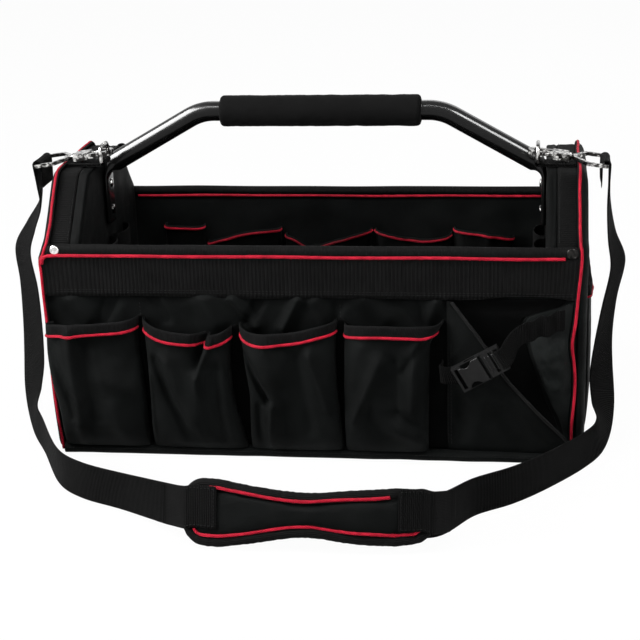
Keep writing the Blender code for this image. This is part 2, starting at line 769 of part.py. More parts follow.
def strap_points(side, hang_shares, corner_shares, floor_shares):
    """The middle line and width directions of one side of the strap, from the hook down to the pad."""
    frame = hook_frame(side)
    bar = frame @ Vector((eye_bar_place, 0, 0))
    bend = math.hypot(eye_rod_width, eye_thickness) / 2 + 2 * fit_gap + strap_thickness / 2
    along_y = Vector((0, 1, 0))
    points = [bar + Vector((-side * bend, 0, -strap_tail_length))]
    for i in range(eye_bend_steps + 1):
        angle = math.pi * i / eye_bend_steps
        points.append(bar + Vector((-side * bend * math.cos(angle), 0, bend * math.sin(angle))))
    across = [along_y] * len(points)
    tail = len(points)
    floor_height = strap_width / 2 + strap_floor_gap
    drop = bar.z - floor_height
    route = []
    for out, forward, high, turn in hang_shares:
        x = bar.x + side * (bend + out * strap_flare)
        route.append((Vector((x, bar.y - forward * strap_flare, floor_height + high * drop)),
                      Vector((side * turn, 1, 0))))
    for along, back, high, turn, down in corner_shares:
        place_on = Vector((along * half_length, back * half_depth, floor_height + high * drop))
        level = 1 - down
        route.append((place_on, Vector((side * turn * level, level, -down))))
    for along, back in floor_shares:
        route.append((Vector((along * half_length, back * half_depth, floor_height)), -up))
    return points, across, route, tail


def pad_centre(share):
    """The pad's middle at a share of its half length."""
    upright = (pad_end_height / 2) * math.cos(pad_lean)
    lift = upright + (pad_thickness / 2) * math.sin(pad_lean) + strap_floor_gap
    bow = pad_bow_share * pad_length * share * share
    along = pad_centre_share * half_length + share * pad_length / 2
    return Vector((along, -half_depth - pad_reach + bow, lift))


def make_strap():
    """The shoulder strap from hook to hook, standing on its edge before the bag, and its pad."""
    lean = Vector((0, math.sin(pad_lean), math.cos(pad_lean)))
    behind = Vector((0, math.cos(pad_lean), -math.sin(pad_lean)))
    back_off = behind * (pad_thickness / 2 + pad_strap_gap + strap_thickness / 2)
    left = strap_points(-1, strap_left_hang_shares, strap_left_corner_shares, strap_left_floor_shares)
    right = strap_points(1, strap_right_hang_shares, strap_right_corner_shares, strap_right_floor_shares)
    middle = [(pad_centre(share) + back_off, -lean) for share in strap_behind_pad_shares]
    route = [*left[2], *middle, *reversed(right[2])]
    first = (left[0][-1], left[1][-1])
    last = (right[0][-1], right[1][-1])
    route = [first, *route, last]
    centres = smooth_route([point for point, _ in route], strap_steps)
    across = smooth_route([direction.normalized() for _, direction in route], strap_steps)
    centres = [*left[0][:-1], *centres, *reversed(right[0][:-1])]
    across = [*left[1][:-1], *across, *reversed(right[1][:-1])]
    ribbon("shoulder_strap", centres, across, strap_width, strap_thickness, "webbing")

    rings = []
    for share, full in zip(pad_station_shares, pad_fullness_shares):
        widen = min(1.0, abs(share) / pad_widest_share) ** pad_waist_power
        half = (pad_middle_height + (pad_end_height - pad_middle_height) * widen) / 2 * full
        thick = pad_thickness / 2 * min(1.0, full)
        middle_at = pad_centre(share)
        rings.append([middle_at + lean * (half * a) + behind * (thick * b) for a, b in pad_section_shares])
    loft("shoulder_pad", rings, "fabric")


def pocket(name, corner, along, out, width, height, depth, sag, fabric_finish="fabric"):
    """A bulging patch pocket, open at the top, sewn at its sides and foot to the wall at corner."""
    rows = []
    edge = pocket_fabric + fit_gap
    for share in pocket_row_shares:
        row = []
        rise = math.sin(share * math.pi / 2) ** pocket_rise_power
        for k in range(pocket_columns + 1):
            u = (1 - math.cos(math.pi * k / pocket_columns)) / 2
            side = abs(2 * u - 1)
            profile = (1 - side ** pocket_profile_power) ** (1 / pocket_profile_power)
            swell = (pocket_gather + (depth - pocket_gather) * rise) * profile
            z = share * (height - sag * (1 - side * side) * share)
            across = along * (edge + u * (width - 2 * edge))
            row.append(corner + across + out * (swell + fit_gap) + up * z)
        rows.append(row)
    return sheet(name, rows, pocket_fabric, fabric_finish, 1)


def make_pockets():
    """Four front pockets, the holster pocket, five inside pockets and the right end's outside pocket."""
    for i, (edges, high) in enumerate(zip(front_pocket_edge_shares, front_pocket_height_shares)):
        start, end = (share * (half_length - pocket_fabric) for share in edges)
        corner = Vector((start, -half_depth, pocket_foot))
        pocket(f"front_pocket_{i + 1}", corner, Vector((1, 0, 0)), Vector((0, -1, 0)), end - start,
               pocket_height * high - pocket_foot, pocket_depth, pocket_sag)
    for i, (edges, high) in enumerate(zip(inner_pocket_edge_shares, inner_pocket_height_shares)):
        start, end = (share * end_inside for share in edges)
        corner = Vector((start, wall_inside, inner_pocket_foot))
        pocket(f"inner_pocket_{i + 1}", corner, Vector((1, 0, 0)), Vector((0, -1, 0)), end - start,
               rim_height * high - inner_pocket_foot, inner_pocket_depth, inner_pocket_sag)
    side_start = outer_start + end_outer_thickness
    corner = Vector((side_start, -side_pocket_width / 2, wall_foot + end_outer_bevel))
    pocket("right_side_pocket", corner, Vector((0, 1, 0)), Vector((1, 0, 0)), side_pocket_width,
           side_pocket_height, side_pocket_depth, 0.0)

    start, end = (share * half_length for share in holster_edge_shares)
    rows = []
    least, most = holster_swell_shares
    for share in holster_row_shares:
        width = (end - start) + (holster_top_width - (end - start)) * share
        rise = math.sin(math.pi * min(max(share, least), most)) ** holster_power
        row = []
        for k in range(holster_columns + 1):
            u = k / holster_columns
            swell = holster_depth * rise * math.sin(u * math.pi / 2) ** holster_power
            z = pocket_foot + share * (holster_height - pocket_foot)
            row.append(Vector((start + u * width, -half_depth - fit_gap - swell, z)))
        rows.append(row)
    sheet("holster_pocket", rows, pocket_fabric, "fabric", 1)


def buckle_frame():
    """The buckle's frame: X up along the latch webbing, Y across it, Z out from the bag."""
    out = Vector((0, -1, 0))
    along = Vector((math.cos(buckle_tilt), 0, math.sin(buckle_tilt)))
    across = out.cross(along)
    spot = Vector((buckle_x, -half_depth - buckle_stand_off, buckle_height))
    return Matrix.Translation(spot) @ Matrix((along, across, out)).transposed().to_4x4()


def make_latch():
    """The side-release buckle on the holster and its webbing."""
    frame = buckle_frame()
    half = buckle_width / 2
    deep = socket_thickness / 2
    tail = socket_length + slot_length + slot_bar
    socket = box("latch_socket", (-tail, -half, -deep), (0, half, deep), "plastic", frame)
    cavity = socket_cavity_width / 2
    low = socket_cavity_thickness / 2
    inside = box("socket_cavity", (-socket_cavity_depth, -cavity, -low), (overrun, cavity, low), "plastic",
                 frame)
    combine(socket, inside, "DIFFERENCE")
    windows = box("socket_windows", (-window_end, -half - overrun, -low + fit_gap),
                  (-window_start, half + overrun, low - fit_gap), "plastic", frame)
    combine(socket, windows, "DIFFERENCE")
    slot_start = -socket_length - slot_length
    slot = box("socket_slot", (slot_start, -slot_width / 2, -deep - overrun),
               (-socket_length, slot_width / 2, deep + overrun), "plastic", frame)
    combine(socket, slot, "DIFFERENCE")
    thick = plug_thickness / 2
    plug = box("latch_plug", (plug_gap, -half, -thick), (plug_length, half, thick), "plastic", frame)
    tongue = box("plug_tongue", (-tongue_length, -tongue_width / 2, -tongue_thickness / 2),
                 (plug_gap + overrun, tongue_width / 2, tongue_thickness / 2), "plastic", frame)
    combine(plug, tongue, "UNION")
    last = plug_length - slot_bar - slot_length
    for name, first in (("plug_slot_far", last), ("plug_slot_near", last - slot_bar - slot_length)):
        slot = box(name, (first, -slot_width / 2, -thick - overrun),
                   (first + slot_length, slot_width / 2, thick + overrun), "plastic", frame)
        combine(plug, slot, "DIFFERENCE")
    for word, sign in (("upper", 1), ("lower", -1)):
        inner = sign * arm_offset
        outer = sign * (arm_offset + arm_width)
        head = sign * (arm_offset + arm_head_reach)
        tip = plug_gap - fit_gap - arm_length
        shoulder = tip + arm_head_length
        root_at = plug_gap - fit_gap
        outline = [(root_at, inner), (root_at, outer), (shoulder, outer), (shoulder, head),
                   (tip + arm_width, head), (tip, inner)]
        as_mesh(plate(f"plug_arm_{word}", [outline], arm_thickness, "plastic", frame))

    across = (frame.to_3x3() @ Vector((0, 1, 0))).normalized()
    slot_middle = frame @ Vector((-socket_length - slot_length / 2, 0, 0))
    pocket_end = front_pocket_edge_shares[-1][-1] * (half_length - pocket_fabric)
    gap_x = (pocket_end + holster_edge_shares[0] * half_length) / 2
    seam = Vector((gap_x, -half_depth - 2 * fit_gap, slot_middle.z))
    under = deep + fit_gap + latch_webbing_thickness
    stand = Vector((gap_x, slot_middle.y + under + latch_webbing_thickness, slot_middle.z))
    entry = frame @ Vector((-socket_length - slot_length * latch_entry_share, 0, -under))
    ribbon("latch_tab", [seam, (seam + stand) / 2, stand, entry, slot_middle], [up, up, up, across, across],
           latch_webbing_width * latch_tab_width_share, latch_webbing_thickness, "webbing")

    plug_slot = frame @ Vector((last + slot_length / 2, 0, 0))
    clear_of_plug = thick + latch_webbing_thickness + fit_gap
    over = frame @ Vector((plug_length + slot_bar, 0, clear_of_plug))
    enter = frame @ Vector((last + slot_length / 2, 0, clear_of_plug))
    seam_x = half_length - rim_webbing_end_inset - latch_webbing_width / 2
    seam_y = -half_depth - fit_gap * 2 - latch_webbing_thickness
    seam_z = rim_height - rim_webbing_height - latch_webbing_width * latch_seam_drop_share
    top = Vector((seam_x, seam_y, seam_z))
    down = top + (over - top) * latch_middle_share
    turned = (across + up).normalized()
    ribbon("latch_strap", [plug_slot, enter, over, down, top], [across, across, across, turned, up],
           latch_webbing_width, latch_webbing_thickness, "webbing")


def make_loops():
    """Webbing loops inside both end walls and the small standing loop on the left end wall."""
    for side in (-1, 1):
        face = side * (end_inside - fit_gap - loop_thickness / 2)
        centres = []
        for k in (-1, 1):
            middle_y = k * inner_loop_spacing / 2
            for i in range(loop_steps + 1):
                angle = math.pi * i / loop_steps
                y = middle_y - math.cos(angle) * inner_loop_spacing * loop_half_span_share
                x = face - side * loop_reach * math.sin(angle) ** loop_power
                centres.append(Vector((x, y, inner_loop_height)))
        across = [up] * len(centres)
        ribbon(f"{side_words[side]}_inner_loops", centres, across, loop_width, loop_thickness, "webbing")
    slope = Vector((0, end_half_depth - end_top_half_depth, rim_height - end_top_height))
    slope.normalize()
    out = Vector((0, -slope.z, slope.y))
    start = Vector((hang_loop_x, end_top_half_depth, end_top_height))
    stand = fit_gap + gusset_thickness + fit_gap + loop_thickness / 2
    foot = start + slope * ((hang_loop_y - end_top_half_depth) / slope.y) + out * stand
    half = hang_loop_half_breadth
    rising = [(-half * wide, hang_loop_rise * high) for wide, high in hang_loop_side_shares]
    falling = [(-across, high) for across, high in reversed(rising)]
    points = [*rising, (0.0, hang_loop_rise), *falling]
    centres = [foot + Vector((a, 0, 0)) + out * b for a, b in points]
    across = [slope] * len(centres)
    ribbon("left_hang_loop", centres, across, hang_loop_width, loop_thickness, "webbing")


make_body()
for each_side in (-1, 1):
    make_end_wall(each_side)
make_rim()
make_handle()
for each_side in (-1, 1):
    make_ring(each_side)
    make_hook(each_side)
make_strap()
make_pockets()
make_latch()
make_loops()
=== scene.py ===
"""The looks of the open-top tool bag: cloth, webbing, piping, hardware, buckle, strap and pad.

Metres, in the CAD's own frame. +Z is up and the front faces -Y. side is -1 for left and front, and 1 for
right and back.
"""

import math
from dataclasses import dataclass

import bmesh
import bpy
import numpy as np
from mathutils import Matrix, Vector, noise
from mathutils.bvhtree import BVHTree


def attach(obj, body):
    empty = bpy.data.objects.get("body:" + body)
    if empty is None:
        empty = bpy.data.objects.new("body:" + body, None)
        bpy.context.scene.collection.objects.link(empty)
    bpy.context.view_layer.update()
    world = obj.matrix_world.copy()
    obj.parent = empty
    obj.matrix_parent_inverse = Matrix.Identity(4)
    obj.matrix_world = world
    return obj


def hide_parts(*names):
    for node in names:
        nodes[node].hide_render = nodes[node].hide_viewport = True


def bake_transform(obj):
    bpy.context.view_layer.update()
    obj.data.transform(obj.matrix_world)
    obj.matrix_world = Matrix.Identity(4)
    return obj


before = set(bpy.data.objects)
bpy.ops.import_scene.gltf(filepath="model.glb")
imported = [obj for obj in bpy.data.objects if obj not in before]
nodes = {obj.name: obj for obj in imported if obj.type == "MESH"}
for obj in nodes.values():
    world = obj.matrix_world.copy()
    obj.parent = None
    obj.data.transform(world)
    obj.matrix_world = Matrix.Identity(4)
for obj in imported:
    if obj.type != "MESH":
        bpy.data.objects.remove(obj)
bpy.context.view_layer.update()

MM = 0.001
HALF_LENGTH = 0.2485
HALF_DEPTH = 0.114
FOOT = 0.0033
RIM = 0.212
PANEL_TOP = RIM - 0.6 * MM
PANEL_IN = 0.110
END_TOP = 0.268
END_TOP_HALF = 0.060
END_HALF = 0.1097
END_IN = 0.2199
OUTER_START = 0.2488
OUTER_FULL = 0.0086
RING_X = 0.2109
RING_Y = -0.032
BAR_Z = 0.2744
HOOK_Z = 0.2830
HOOK_PITCH = math.radians(8)
HOLSTER_SEAM = 0.1245
SIDES = (("left", -1), ("right", 1))
FACES = (("front", -1), ("back", 1))
UP = Vector((0, 0, 1))


# Materials


class Paint:
    """A Principled material that is put together node by node."""

    def __init__(self, name):
        self.material = bpy.data.materials.new(name)
        self.material.use_nodes = True
        self.tree = self.material.node_tree
        self.shader = self.tree.nodes["Principled BSDF"]
        self.normal = None

    def node(self, kind, operation=None, **values):
        made = self.tree.nodes.new(kind)
        if operation:
            made.operation = operation
        for key, value in values.items():
            made.inputs[key].default_value = value
        return made

    def link(self, source, target):
        self.tree.links.new(source, target)

    def place(self, source, turn=0.0, stretch=(1.0, 1.0, 1.0)):
        """UV or object coordinates in metres, turned about Z and stretched."""
        mapping = self.node("ShaderNodeMapping", Rotation=(0.0, 0.0, turn), Scale=stretch)
        self.link(self.node("ShaderNodeTexCoord").outputs[source], mapping.inputs["Vector"])
        return mapping.outputs["Vector"]

    def noise(self, scale, detail=3.0, rough=0.55, source="Object", stretch=(1.0, 1.0, 1.0)):
        made = self.node("ShaderNodeTexNoise", Scale=scale, Detail=detail, Roughness=rough)
        self.link(self.place(source, 0.0, stretch), made.inputs["Vector"])
        return made.outputs["Fac"]

    def math(self, operation, first, second=None):
        made = self.node("ShaderNodeMath", operation)
        for socket, value in zip(made.inputs, (first, second)):
            if isinstance(value, (int, float)):
                socket.default_value = value
            elif value is not None:
                self.link(value, socket)
        return made.outputs[0]

    def mix(self, *weighted):
        """The sum of (source, weight) pairs."""
        total = None
        for source, weight in weighted:
            term = self.math("MULTIPLY", source, weight)
            total = term if total is None else self.math("ADD", total, term)
        return total

    def colour(self, source, low, first, high, second):
        """Base colour from the first colour at the low value to the second at the high one."""
        made = self.node("ShaderNodeValToRGB")
        for element, at, tone in zip(made.color_ramp.elements, (low, high), (first, second)):
            element.position = at
            element.color = (*tone, 1.0)
        self.link(source, made.inputs["Fac"])
        self.link(made.outputs["Color"], self.shader.inputs["Base Color"])

    def rough(self, source, low, high):
        made = self.node("ShaderNodeMapRange")
        for name, value in (("From Min", 0.3), ("From Max", 0.7), ("To Min", low), ("To Max", high)):
            made.inputs[name].default_value = value
        self.link(source, made.inputs["Value"])
        self.link(made.outputs["Result"], self.shader.inputs["Roughness"])

    def bump(self, source, distance, strength=1.0):
        made = self.node("ShaderNodeBump", Distance=distance, Strength=strength)
        self.link(source, made.inputs["Height"])
        if self.normal is not None:
            self.link(self.normal, made.inputs["Normal"])
        self.normal = made.outputs["Normal"]
        self.link(self.normal, self.shader.inputs["Normal"])

    def wave(self, axis, pitch, source="UV", turn=0.0):
        """A sine of that pitch in metres along one axis of the piece's own coordinates."""
        apart = self.node("ShaderNodeSeparateXYZ")
        self.link(self.place(source, turn), apart.inputs["Vector"])
        return self.math("SINE", self.math("MULTIPLY", apart.outputs[axis], 2 * math.pi / pitch))

    def finish(self, **values):
        for key, value in values.items():
            self.shader.inputs[key.replace("_", " ")].default_value = value
        return self.material


CLOTH_TINT = (0.90, 1.02, 0.99)


def grey(level, tint=(1.0, 1.0, 1.0)):
    return tuple(level * t for t in tint)


def woven(name, dark, light, pitch=1.1 * MM, source="UV", crease=0.45 * MM):
    """Coarse woven polyester: crossing threads, soft creases and a little dust in the colour."""
    paint = Paint(name)
    mixed = paint.mix((paint.noise(26.0, 4.0, 0.6), 0.7), (paint.noise(2600.0, 2.0, 0.7), 0.3))
    paint.colour(mixed, 0.34, grey(dark, CLOTH_TINT), 0.66, grey(light, CLOTH_TINT))
    paint.rough(paint.noise(60.0), 0.44, 0.60)
    across, along = ("X", "Y") if source == "UV" else ("X", "Z")
    threads = paint.math("MULTIPLY", paint.wave(across, pitch, source), paint.wave(along, pitch, source))
    paint.bump(paint.noise(55.0, 4.0, 0.55), crease)
    paint.bump(threads, 0.16 * MM, 0.8)
    return paint.finish(Sheen_Weight=0.012, Sheen_Roughness=0.4, Specular_IOR_Level=0.015)


def ribbed(name, dark, light, pitch, depth=0.35 * MM, shine=0.012):
    """Webbing: ribs across its length and fine twill lines along it."""
    paint = Paint(name)
    rib = paint.wave("X", pitch)
    twill = paint.wave("Y", 1.3 * MM)
    streak = paint.noise(900.0, 2.0, 0.6, "UV", (1.0, 0.06, 1.0))
    # The rib wave in the colour darkens the troughs between the ribs: painted shade.
    mixed = paint.mix((paint.noise(40.0, 3.0, 0.6), 0.35), (streak, 0.45), (rib, 0.06))
    paint.colour(mixed, 0.26, grey(dark), 0.60, grey(light))
    paint.rough(streak, 0.55, 0.80)
    paint.bump(rib, depth)
    paint.bump(paint.math("MULTIPLY", rib, twill), depth * 0.4)
    return paint.finish(Sheen_Weight=0.02, Sheen_Roughness=0.4, Specular_IOR_Level=shine)


def cord_red(name):
    """Red piping: tight diagonal cloth over a cord, with painted shade in its grooves."""
    paint = Paint(name)
    twist = paint.wave("X", 1.5 * MM, turn=0.6)
    cloud = paint.noise(120.0, 3.0, 0.6)
    # The twist in the colour is painted shade in the cord's grooves.
    mixed = paint.mix((cloud, 0.8), (twist, 0.12))
    paint.colour(mixed, 0.22, (0.25, 0.004, 0.014), 0.6, (0.54, 0.016, 0.040))
    paint.rough(cloud, 0.48, 0.68)
    paint.bump(twist, 0.12 * MM)
    return paint.finish(Sheen_Weight=0.02, Specular_IOR_Level=0.03)


def glossy_paint(name):
    """Glossy black tube paint with faint orange peel and handling marks."""
    paint = Paint(name)
    paint.colour(paint.noise(220.0, 5.0, 0.7), 0.3, grey(0.0022), 0.75, grey(0.0048))
    paint.rough(paint.noise(34.0, 4.0), 0.19, 0.27)
    paint.bump(paint.noise(900.0, 2.0), 0.02 * MM)
    return paint.finish(Specular_IOR_Level=0.14, Coat_Weight=0.12, Coat_Roughness=0.08)


def foam(name):
    """Closed-cell foam: fine pores, matte, slightly uneven in tone."""
    paint = Paint(name)
    pores = paint.node("ShaderNodeTexVoronoi", Scale=1100.0)
    paint.link(paint.place("Object"), pores.inputs["Vector"])
    cloud = paint.noise(30.0, 4.0)
    paint.colour(cloud, 0.3, grey(0.0036), 0.7, grey(0.0066))
    paint.rough(cloud, 0.78, 0.94)
    paint.bump(paint.noise(70.0, 3.0), 0.25 * MM)
    paint.bump(pores.outputs["Distance"], 0.12 * MM)
    return paint.finish(Sheen_Weight=0.02, Specular_IOR_Level=0.012)


def plated(name, low_tone, high_tone, low=0.08, high=0.24, dark_at=0.42, light_at=0.57):
    """Plate on a casting, with soft waves and fine scratches, and dark and light patches in its colour that
    are painted reflections.
    """
    paint = Paint(name)
    # The colour's dark and light patches are painted reflections of dark and light surroundings.
    paint.colour(paint.noise(230.0, 3.0, 0.6), dark_at, low_tone, light_at, high_tone)
    paint.rough(paint.noise(1400.0, 3.0, 0.7, "Object", (1.0, 0.15, 1.0)), low, high)
    paint.bump(paint.noise(240.0, 3.0), 0.16 * MM)
    return paint.finish(Metallic=1.0)


def moulded(name):
    """Satin black acetal with the fine grain of a spark-eroded mould."""
    paint = Paint(name)
    grain = paint.noise(1900.0, 3.0, 0.6)
    paint.colour(paint.noise(80.0, 3.0), 0.3, grey(0.005), 0.7, grey(0.009))
    paint.rough(grain, 0.32, 0.48)
    paint.bump(grain, 0.03 * MM)
    return paint.finish(Specular_IOR_Level=0.15)


def thread_paint(name):
    paint = Paint(name)
    cloud = paint.noise(700.0, 2.0)
    paint.colour(cloud, 0.3, grey(0.006), 0.7, grey(0.016))
    paint.rough(cloud, 0.45, 0.65)
    return paint.finish(Sheen_Weight=0.02, Specular_IOR_Level=0.06)


FABRIC = woven("black_woven_cloth", 0.0024, 0.0066)
PAD_CLOTH = woven("padded_woven_cloth", 0.0024, 0.0052, source="Object")
LINING = woven("lining_cloth", 0.0012, 0.0030, pitch=1.3 * MM)
WEBBING = ribbed("strap_webbing", 0.0026, 0.0060, 1.7 * MM, shine=0.010)
RIM_WEB = ribbed("rim_webbing_ribs", 0.0040, 0.0086, 1.2 * MM, depth=0.12 * MM)
EDGE_TAPE = ribbed("edge_tape", 0.0080, 0.0180, 1.5 * MM, depth=0.12 * MM)
# A lighter cloth for the bulge right of the holster: a painted highlight where the cloth faces the light.
LIT_CLOTH = woven("painted_highlight_cloth", 0.0062, 0.0165)
# A near-black cloth laid where there is only shade: painted shade behind the holster, between the pockets and
# in the buckle's notches.
SHADE_CLOTH = woven("painted_shade_cloth", 0.0005, 0.0014)
BINDING = ribbed("binding_tape", 0.0040, 0.0086, 1.5 * MM, depth=0.14 * MM)
GUSSET_WEB = ribbed("gusset_webbing", 0.0030, 0.0066, 2.0 * MM, depth=0.16 * MM)
RED = cord_red("red_piping_cloth")
PAINT = glossy_paint("black_powder_paint")
FOAM = foam("grip_foam")
# The mottled colours of these nickels are painted reflections.
NICKEL = plated("nickel_plate", (0.022, 0.021, 0.020), (0.76, 0.75, 0.73), dark_at=0.47, light_at=0.63)
# A lit and a shaded copy of nickel for the same rivets: painted reflection and painted shade.
LIT_NICKEL = plated("painted_lit_nickel", (0.62, 0.61, 0.60), (0.86, 0.85, 0.84))
SHADED_NICKEL = plated("painted_shade_nickel", (0.005, 0.005, 0.005), (0.024, 0.023, 0.022), 0.2, 0.35)
PLASTIC = moulded("buckle_plastic")
THREAD = thread_paint("black_thread")
BOARD = woven("board_skin", 0.0035, 0.0070, pitch=2.0 * MM, source="Object", crease=0.2 * MM)


# Curves, and shapes of the cloth over a plane


def points_of(x, y, z):
    """Arrays of coordinates as one array of points."""
    return np.stack(np.broadcast_arrays(x, y, z), -1)


def unit_rows(rows):
    return rows / np.maximum(np.linalg.norm(rows, axis=-1, keepdims=True), 1e-9)


def run_lengths(points):
    """The distance along a path at each of its points."""
    return np.concatenate([[0], np.cumsum(np.linalg.norm(np.diff(points, axis=0), axis=1))])


def resample(points, count):
    """The same path with evenly spaced points."""
    points = np.asarray(points, float)
    run = run_lengths(points)
    at = np.linspace(0, run[-1], count)
    return np.stack([np.interp(at, run, points[:, k]) for k in range(points.shape[1])], 1)


def smooth_curve(points, count, steps=12):
    """A Catmull-Rom curve through the points, resampled evenly."""
    points = [np.asarray(tuple(p), float) for p in points]
    ends = [2 * points[0] - points[1], *points, 2 * points[-1] - points[-2]]
    made = []
    for a, b, c, d in zip(ends, ends[1:], ends[2:], ends[3:]):
        for t in np.linspace(0, 1, steps, endpoint=False):
            straight = b + (c - a) * (t / 2)
            bent = (2 * a - 5 * b + 4 * c - d) * (t * t / 2) + (3 * b - a - 3 * c + d) * (t**3 / 2)
            made.append(straight + bent)
    made.append(points[-1])
    return resample(made, count)


def curve_through(pairs):
    """A function that gives the values of a smooth curve through (place, value) pairs."""
    fine = smooth_curve(pairs, 120)
    return lambda at: np.interp(at, fine[:, 0], fine[:, 1])


def knots(pairs, at):
    return curve_through(pairs)(at)


def mirrored(half):
    """Points in a plane, and then their mirror images in the reverse order."""
    return [*half, *[(-a, b) for a, b in reversed(half)]]


def round_angles(count):
    return np.linspace(0, 2 * math.pi, count, endpoint=False)


def turnings(corners, radii):
    """Each inner corner of a path, the directions back and on from it, half its angle, and its radius."""
    for before, at, after, radius in zip(corners, corners[1:], corners[2:], radii):
        before, at, after = (np.array(p, float) for p in (before, at, after))
        back = unit_rows(before - at)
        on = unit_rows(after - at)
        yield at, back, on, math.acos(np.clip(back @ on, -1, 1)) / 2, radius


def rounded_corners(corners, radii):
    """A path through corners in a plane, each rounded off softly by its radius."""
    path = [np.array(corners[0], float)]
    for at, back, on, half, radius in turnings(corners, radii):
        reach = radius / math.tan(half)
        for t in np.linspace(0, 1, 10):
            path.append((1 - t) ** 2 * (at + back * reach) + 2 * t * (1 - t) * at + t * t * (at + on * reach))
    path.append(np.array(corners[-1], float))
    return np.array(path)


def bent_path(corners, radii, count):
    """A path through corners in (x, z) with true arcs at the bends."""
    path = [np.array(corners[0])]
    for at, back, on, half, radius in turnings(corners, radii):
        reach = radius / math.tan(half)
        centre = at + unit_rows(back + on) * radius / math.sin(half)
        start, end = at + back * reach - centre, at + on * reach - centre
        turn = math.atan2(start[0] * end[1] - start[1] * end[0], start @ end)
        for t in np.linspace(0, 1, 24):
            c, s = math.cos(turn * t), math.sin(turn * t)
            path.append(centre + np.array([c * start[0] - s * start[1], s * start[0] + c * start[1]]))
    path.append(np.array(corners[-1]))
    return resample(path, count)


def step(value, low, high):
    """0 below low, 1 above high, smooth between."""
    t = np.clip((value - low) / (high - low), 0, 1)
    return t * t * (3 - 2 * t)


def to_segment(x, z, start, end):
    """The signed distance to a segment in a plane, positive on its right, and the distance to it."""
    ax, az = start
    dx, dz = end[0] - ax, end[1] - az
    t = np.clip(((x - ax) * dx + (z - az) * dz) / (dx * dx + dz * dz), 0, 1)
    gap = np.hypot(x - ax - t * dx, z - az - t * dz)
    return gap * np.sign((z - az) * dx - (x - ax) * dz), gap


def ridge(x, z, start, end, width):
    """1 on the segment from start to end in a plane, falling smoothly to 0 at about two widths from it."""
    return np.exp(-((to_segment(x, z, start, end)[1] / width) ** 2))


def pleat(x, z, start, end, width):
    """A sharp drop beside a line, that recovers over the width. start is above end, the drop on its left."""
    signed, gap = to_segment(x, z, start, end)
    ends = np.hypot(end[0] - start[0], end[1] - start[1])
    dx, dz = (end[0] - start[0]) / ends, (end[1] - start[1]) / ends
    along = ((x - start[0]) * dx + (z - start[1]) * dz) / ends
    fade = 1 - step(along, 0.55, 1.05)
    sharp = step(-signed, 0.0, width * 0.14)
    return np.exp(-((gap / width) ** 2)) * sharp * fade


def ridges(x, z, rows, shape=ridge):
    """The sum of ridges or pleats, each a row with its start, end, width and height."""
    return sum(high * shape(x, z, (x0, z0), (x1, z1), width) for x0, z0, x1, z1, width, high in rows)


def rumple(x, y, seed, size, octaves=3):
    """Smooth noise of that feature size on arrays of two coordinates, from about -1 to 1."""
    flat = [
        noise.fractal(Vector((a / size + seed * 7.3, b / size - seed * 3.1, seed)), 0.9, 2.1, octaves)
        for a, b in zip(np.ravel(x), np.ravel(y))
    ]
    return np.reshape(flat, np.shape(x))


def cloudy(x, y, z):
    return noise.fractal(Vector((x, y, z)), 0.9, 2.0, 3)


def ripple(x, y, z):
    """Smooth noise on arrays of three coordinates, from about -1 to 1."""
    spots = points_of(x, y, z)
    return np.reshape([noise.noise(Vector(spot)) for spot in spots.reshape(-1, 3)], spots.shape[:-1])


# Meshes


def settle(obj, replaces=(), body="root"):
    """Puts a finished piece on its body and says which nodes it stands for."""
    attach(obj, body)
    if replaces:
        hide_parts(*replaces)
    return obj


def add_object(name, data):
    obj = bpy.data.objects.new(name, data)
    bpy.context.scene.collection.objects.link(obj)
    return obj


def finished(name, shape):
    """A bmesh as a mesh of that name."""
    mesh = bpy.data.meshes.new(name)
    shape.to_mesh(mesh)
    shape.free()
    return mesh


def link_mesh(name, mesh, material):
    obj = add_object(name, mesh)
    mesh.materials.append(material)
    mesh.polygons.foreach_set("use_smooth", [True] * len(mesh.polygons))
    return obj


def grid_mesh(name, points, material, wrap=False, caps=False):
    """A grid of points (rows, columns, 3) as a smooth mesh, with a UV map in metres."""
    points = np.asarray(points, float)
    rows, columns = points.shape[:2]
    steps = columns if wrap else columns - 1
    cells = [(r, c) for r in range(rows - 1) for c in range(steps)]
    corners = ((0, 0), (0, 1), (1, 1), (1, 0))
    faces = [tuple((r + i) * columns + (c + j) % columns for i, j in corners) for r, c in cells]
    if caps:
        faces.append(tuple(range(columns - 1, -1, -1)))
        faces.append(tuple((rows - 1) * columns + c for c in range(columns)))
    mesh = bpy.data.meshes.new(name)
    mesh.from_pydata(points.reshape(-1, 3).tolist(), [], faces)
    middle = points[rows // 2]
    if wrap:
        middle = np.vstack([middle, middle[:1]])
    along_u = run_lengths(middle)
    along_v = run_lengths(points[:, columns // 2])
    layer = mesh.uv_layers.new(name="UVMap")
    for k, (r, c) in enumerate(cells):
        for n, (i, j) in enumerate(corners):
            layer.data[4 * k + n].uv = (along_u[c + j], along_v[r + i])
    return link_mesh(name, mesh, material)


def soften(obj):
    soft = obj.modifiers.new("soft", "SUBSURF")
    soft.levels = 1
    soft.render_levels = 1
    return obj


def thicken(obj, thickness, offset=0.0):
    solid = obj.modifiers.new("thickness", "SOLIDIFY")
    solid.thickness = thickness
    solid.offset = offset
    return obj


def bevelled(obj, width):
    edges = obj.modifiers.new("edges", "BEVEL")
    edges.width = width
    edges.segments = 3
    edges.limit_method = "ANGLE"
    edges.angle_limit = math.radians(40)
    return obj


def repaint(node, material, bevel):
    """A CAD node that stays: a new material and rounded edges."""
    obj = nodes[node]
    obj.data.materials.clear()
    obj.data.materials.append(material)
    bevelled(obj, bevel)


def sheet(name, x, y, z, material, thickness, offset=0.0, slot="fabric", replaces=()):
    """Cloth or tape over arrays of coordinates, with its thickness, in place."""
    return settle(thicken(grid_mesh(name, points_of(x, y, z), material), thickness, offset), replaces)


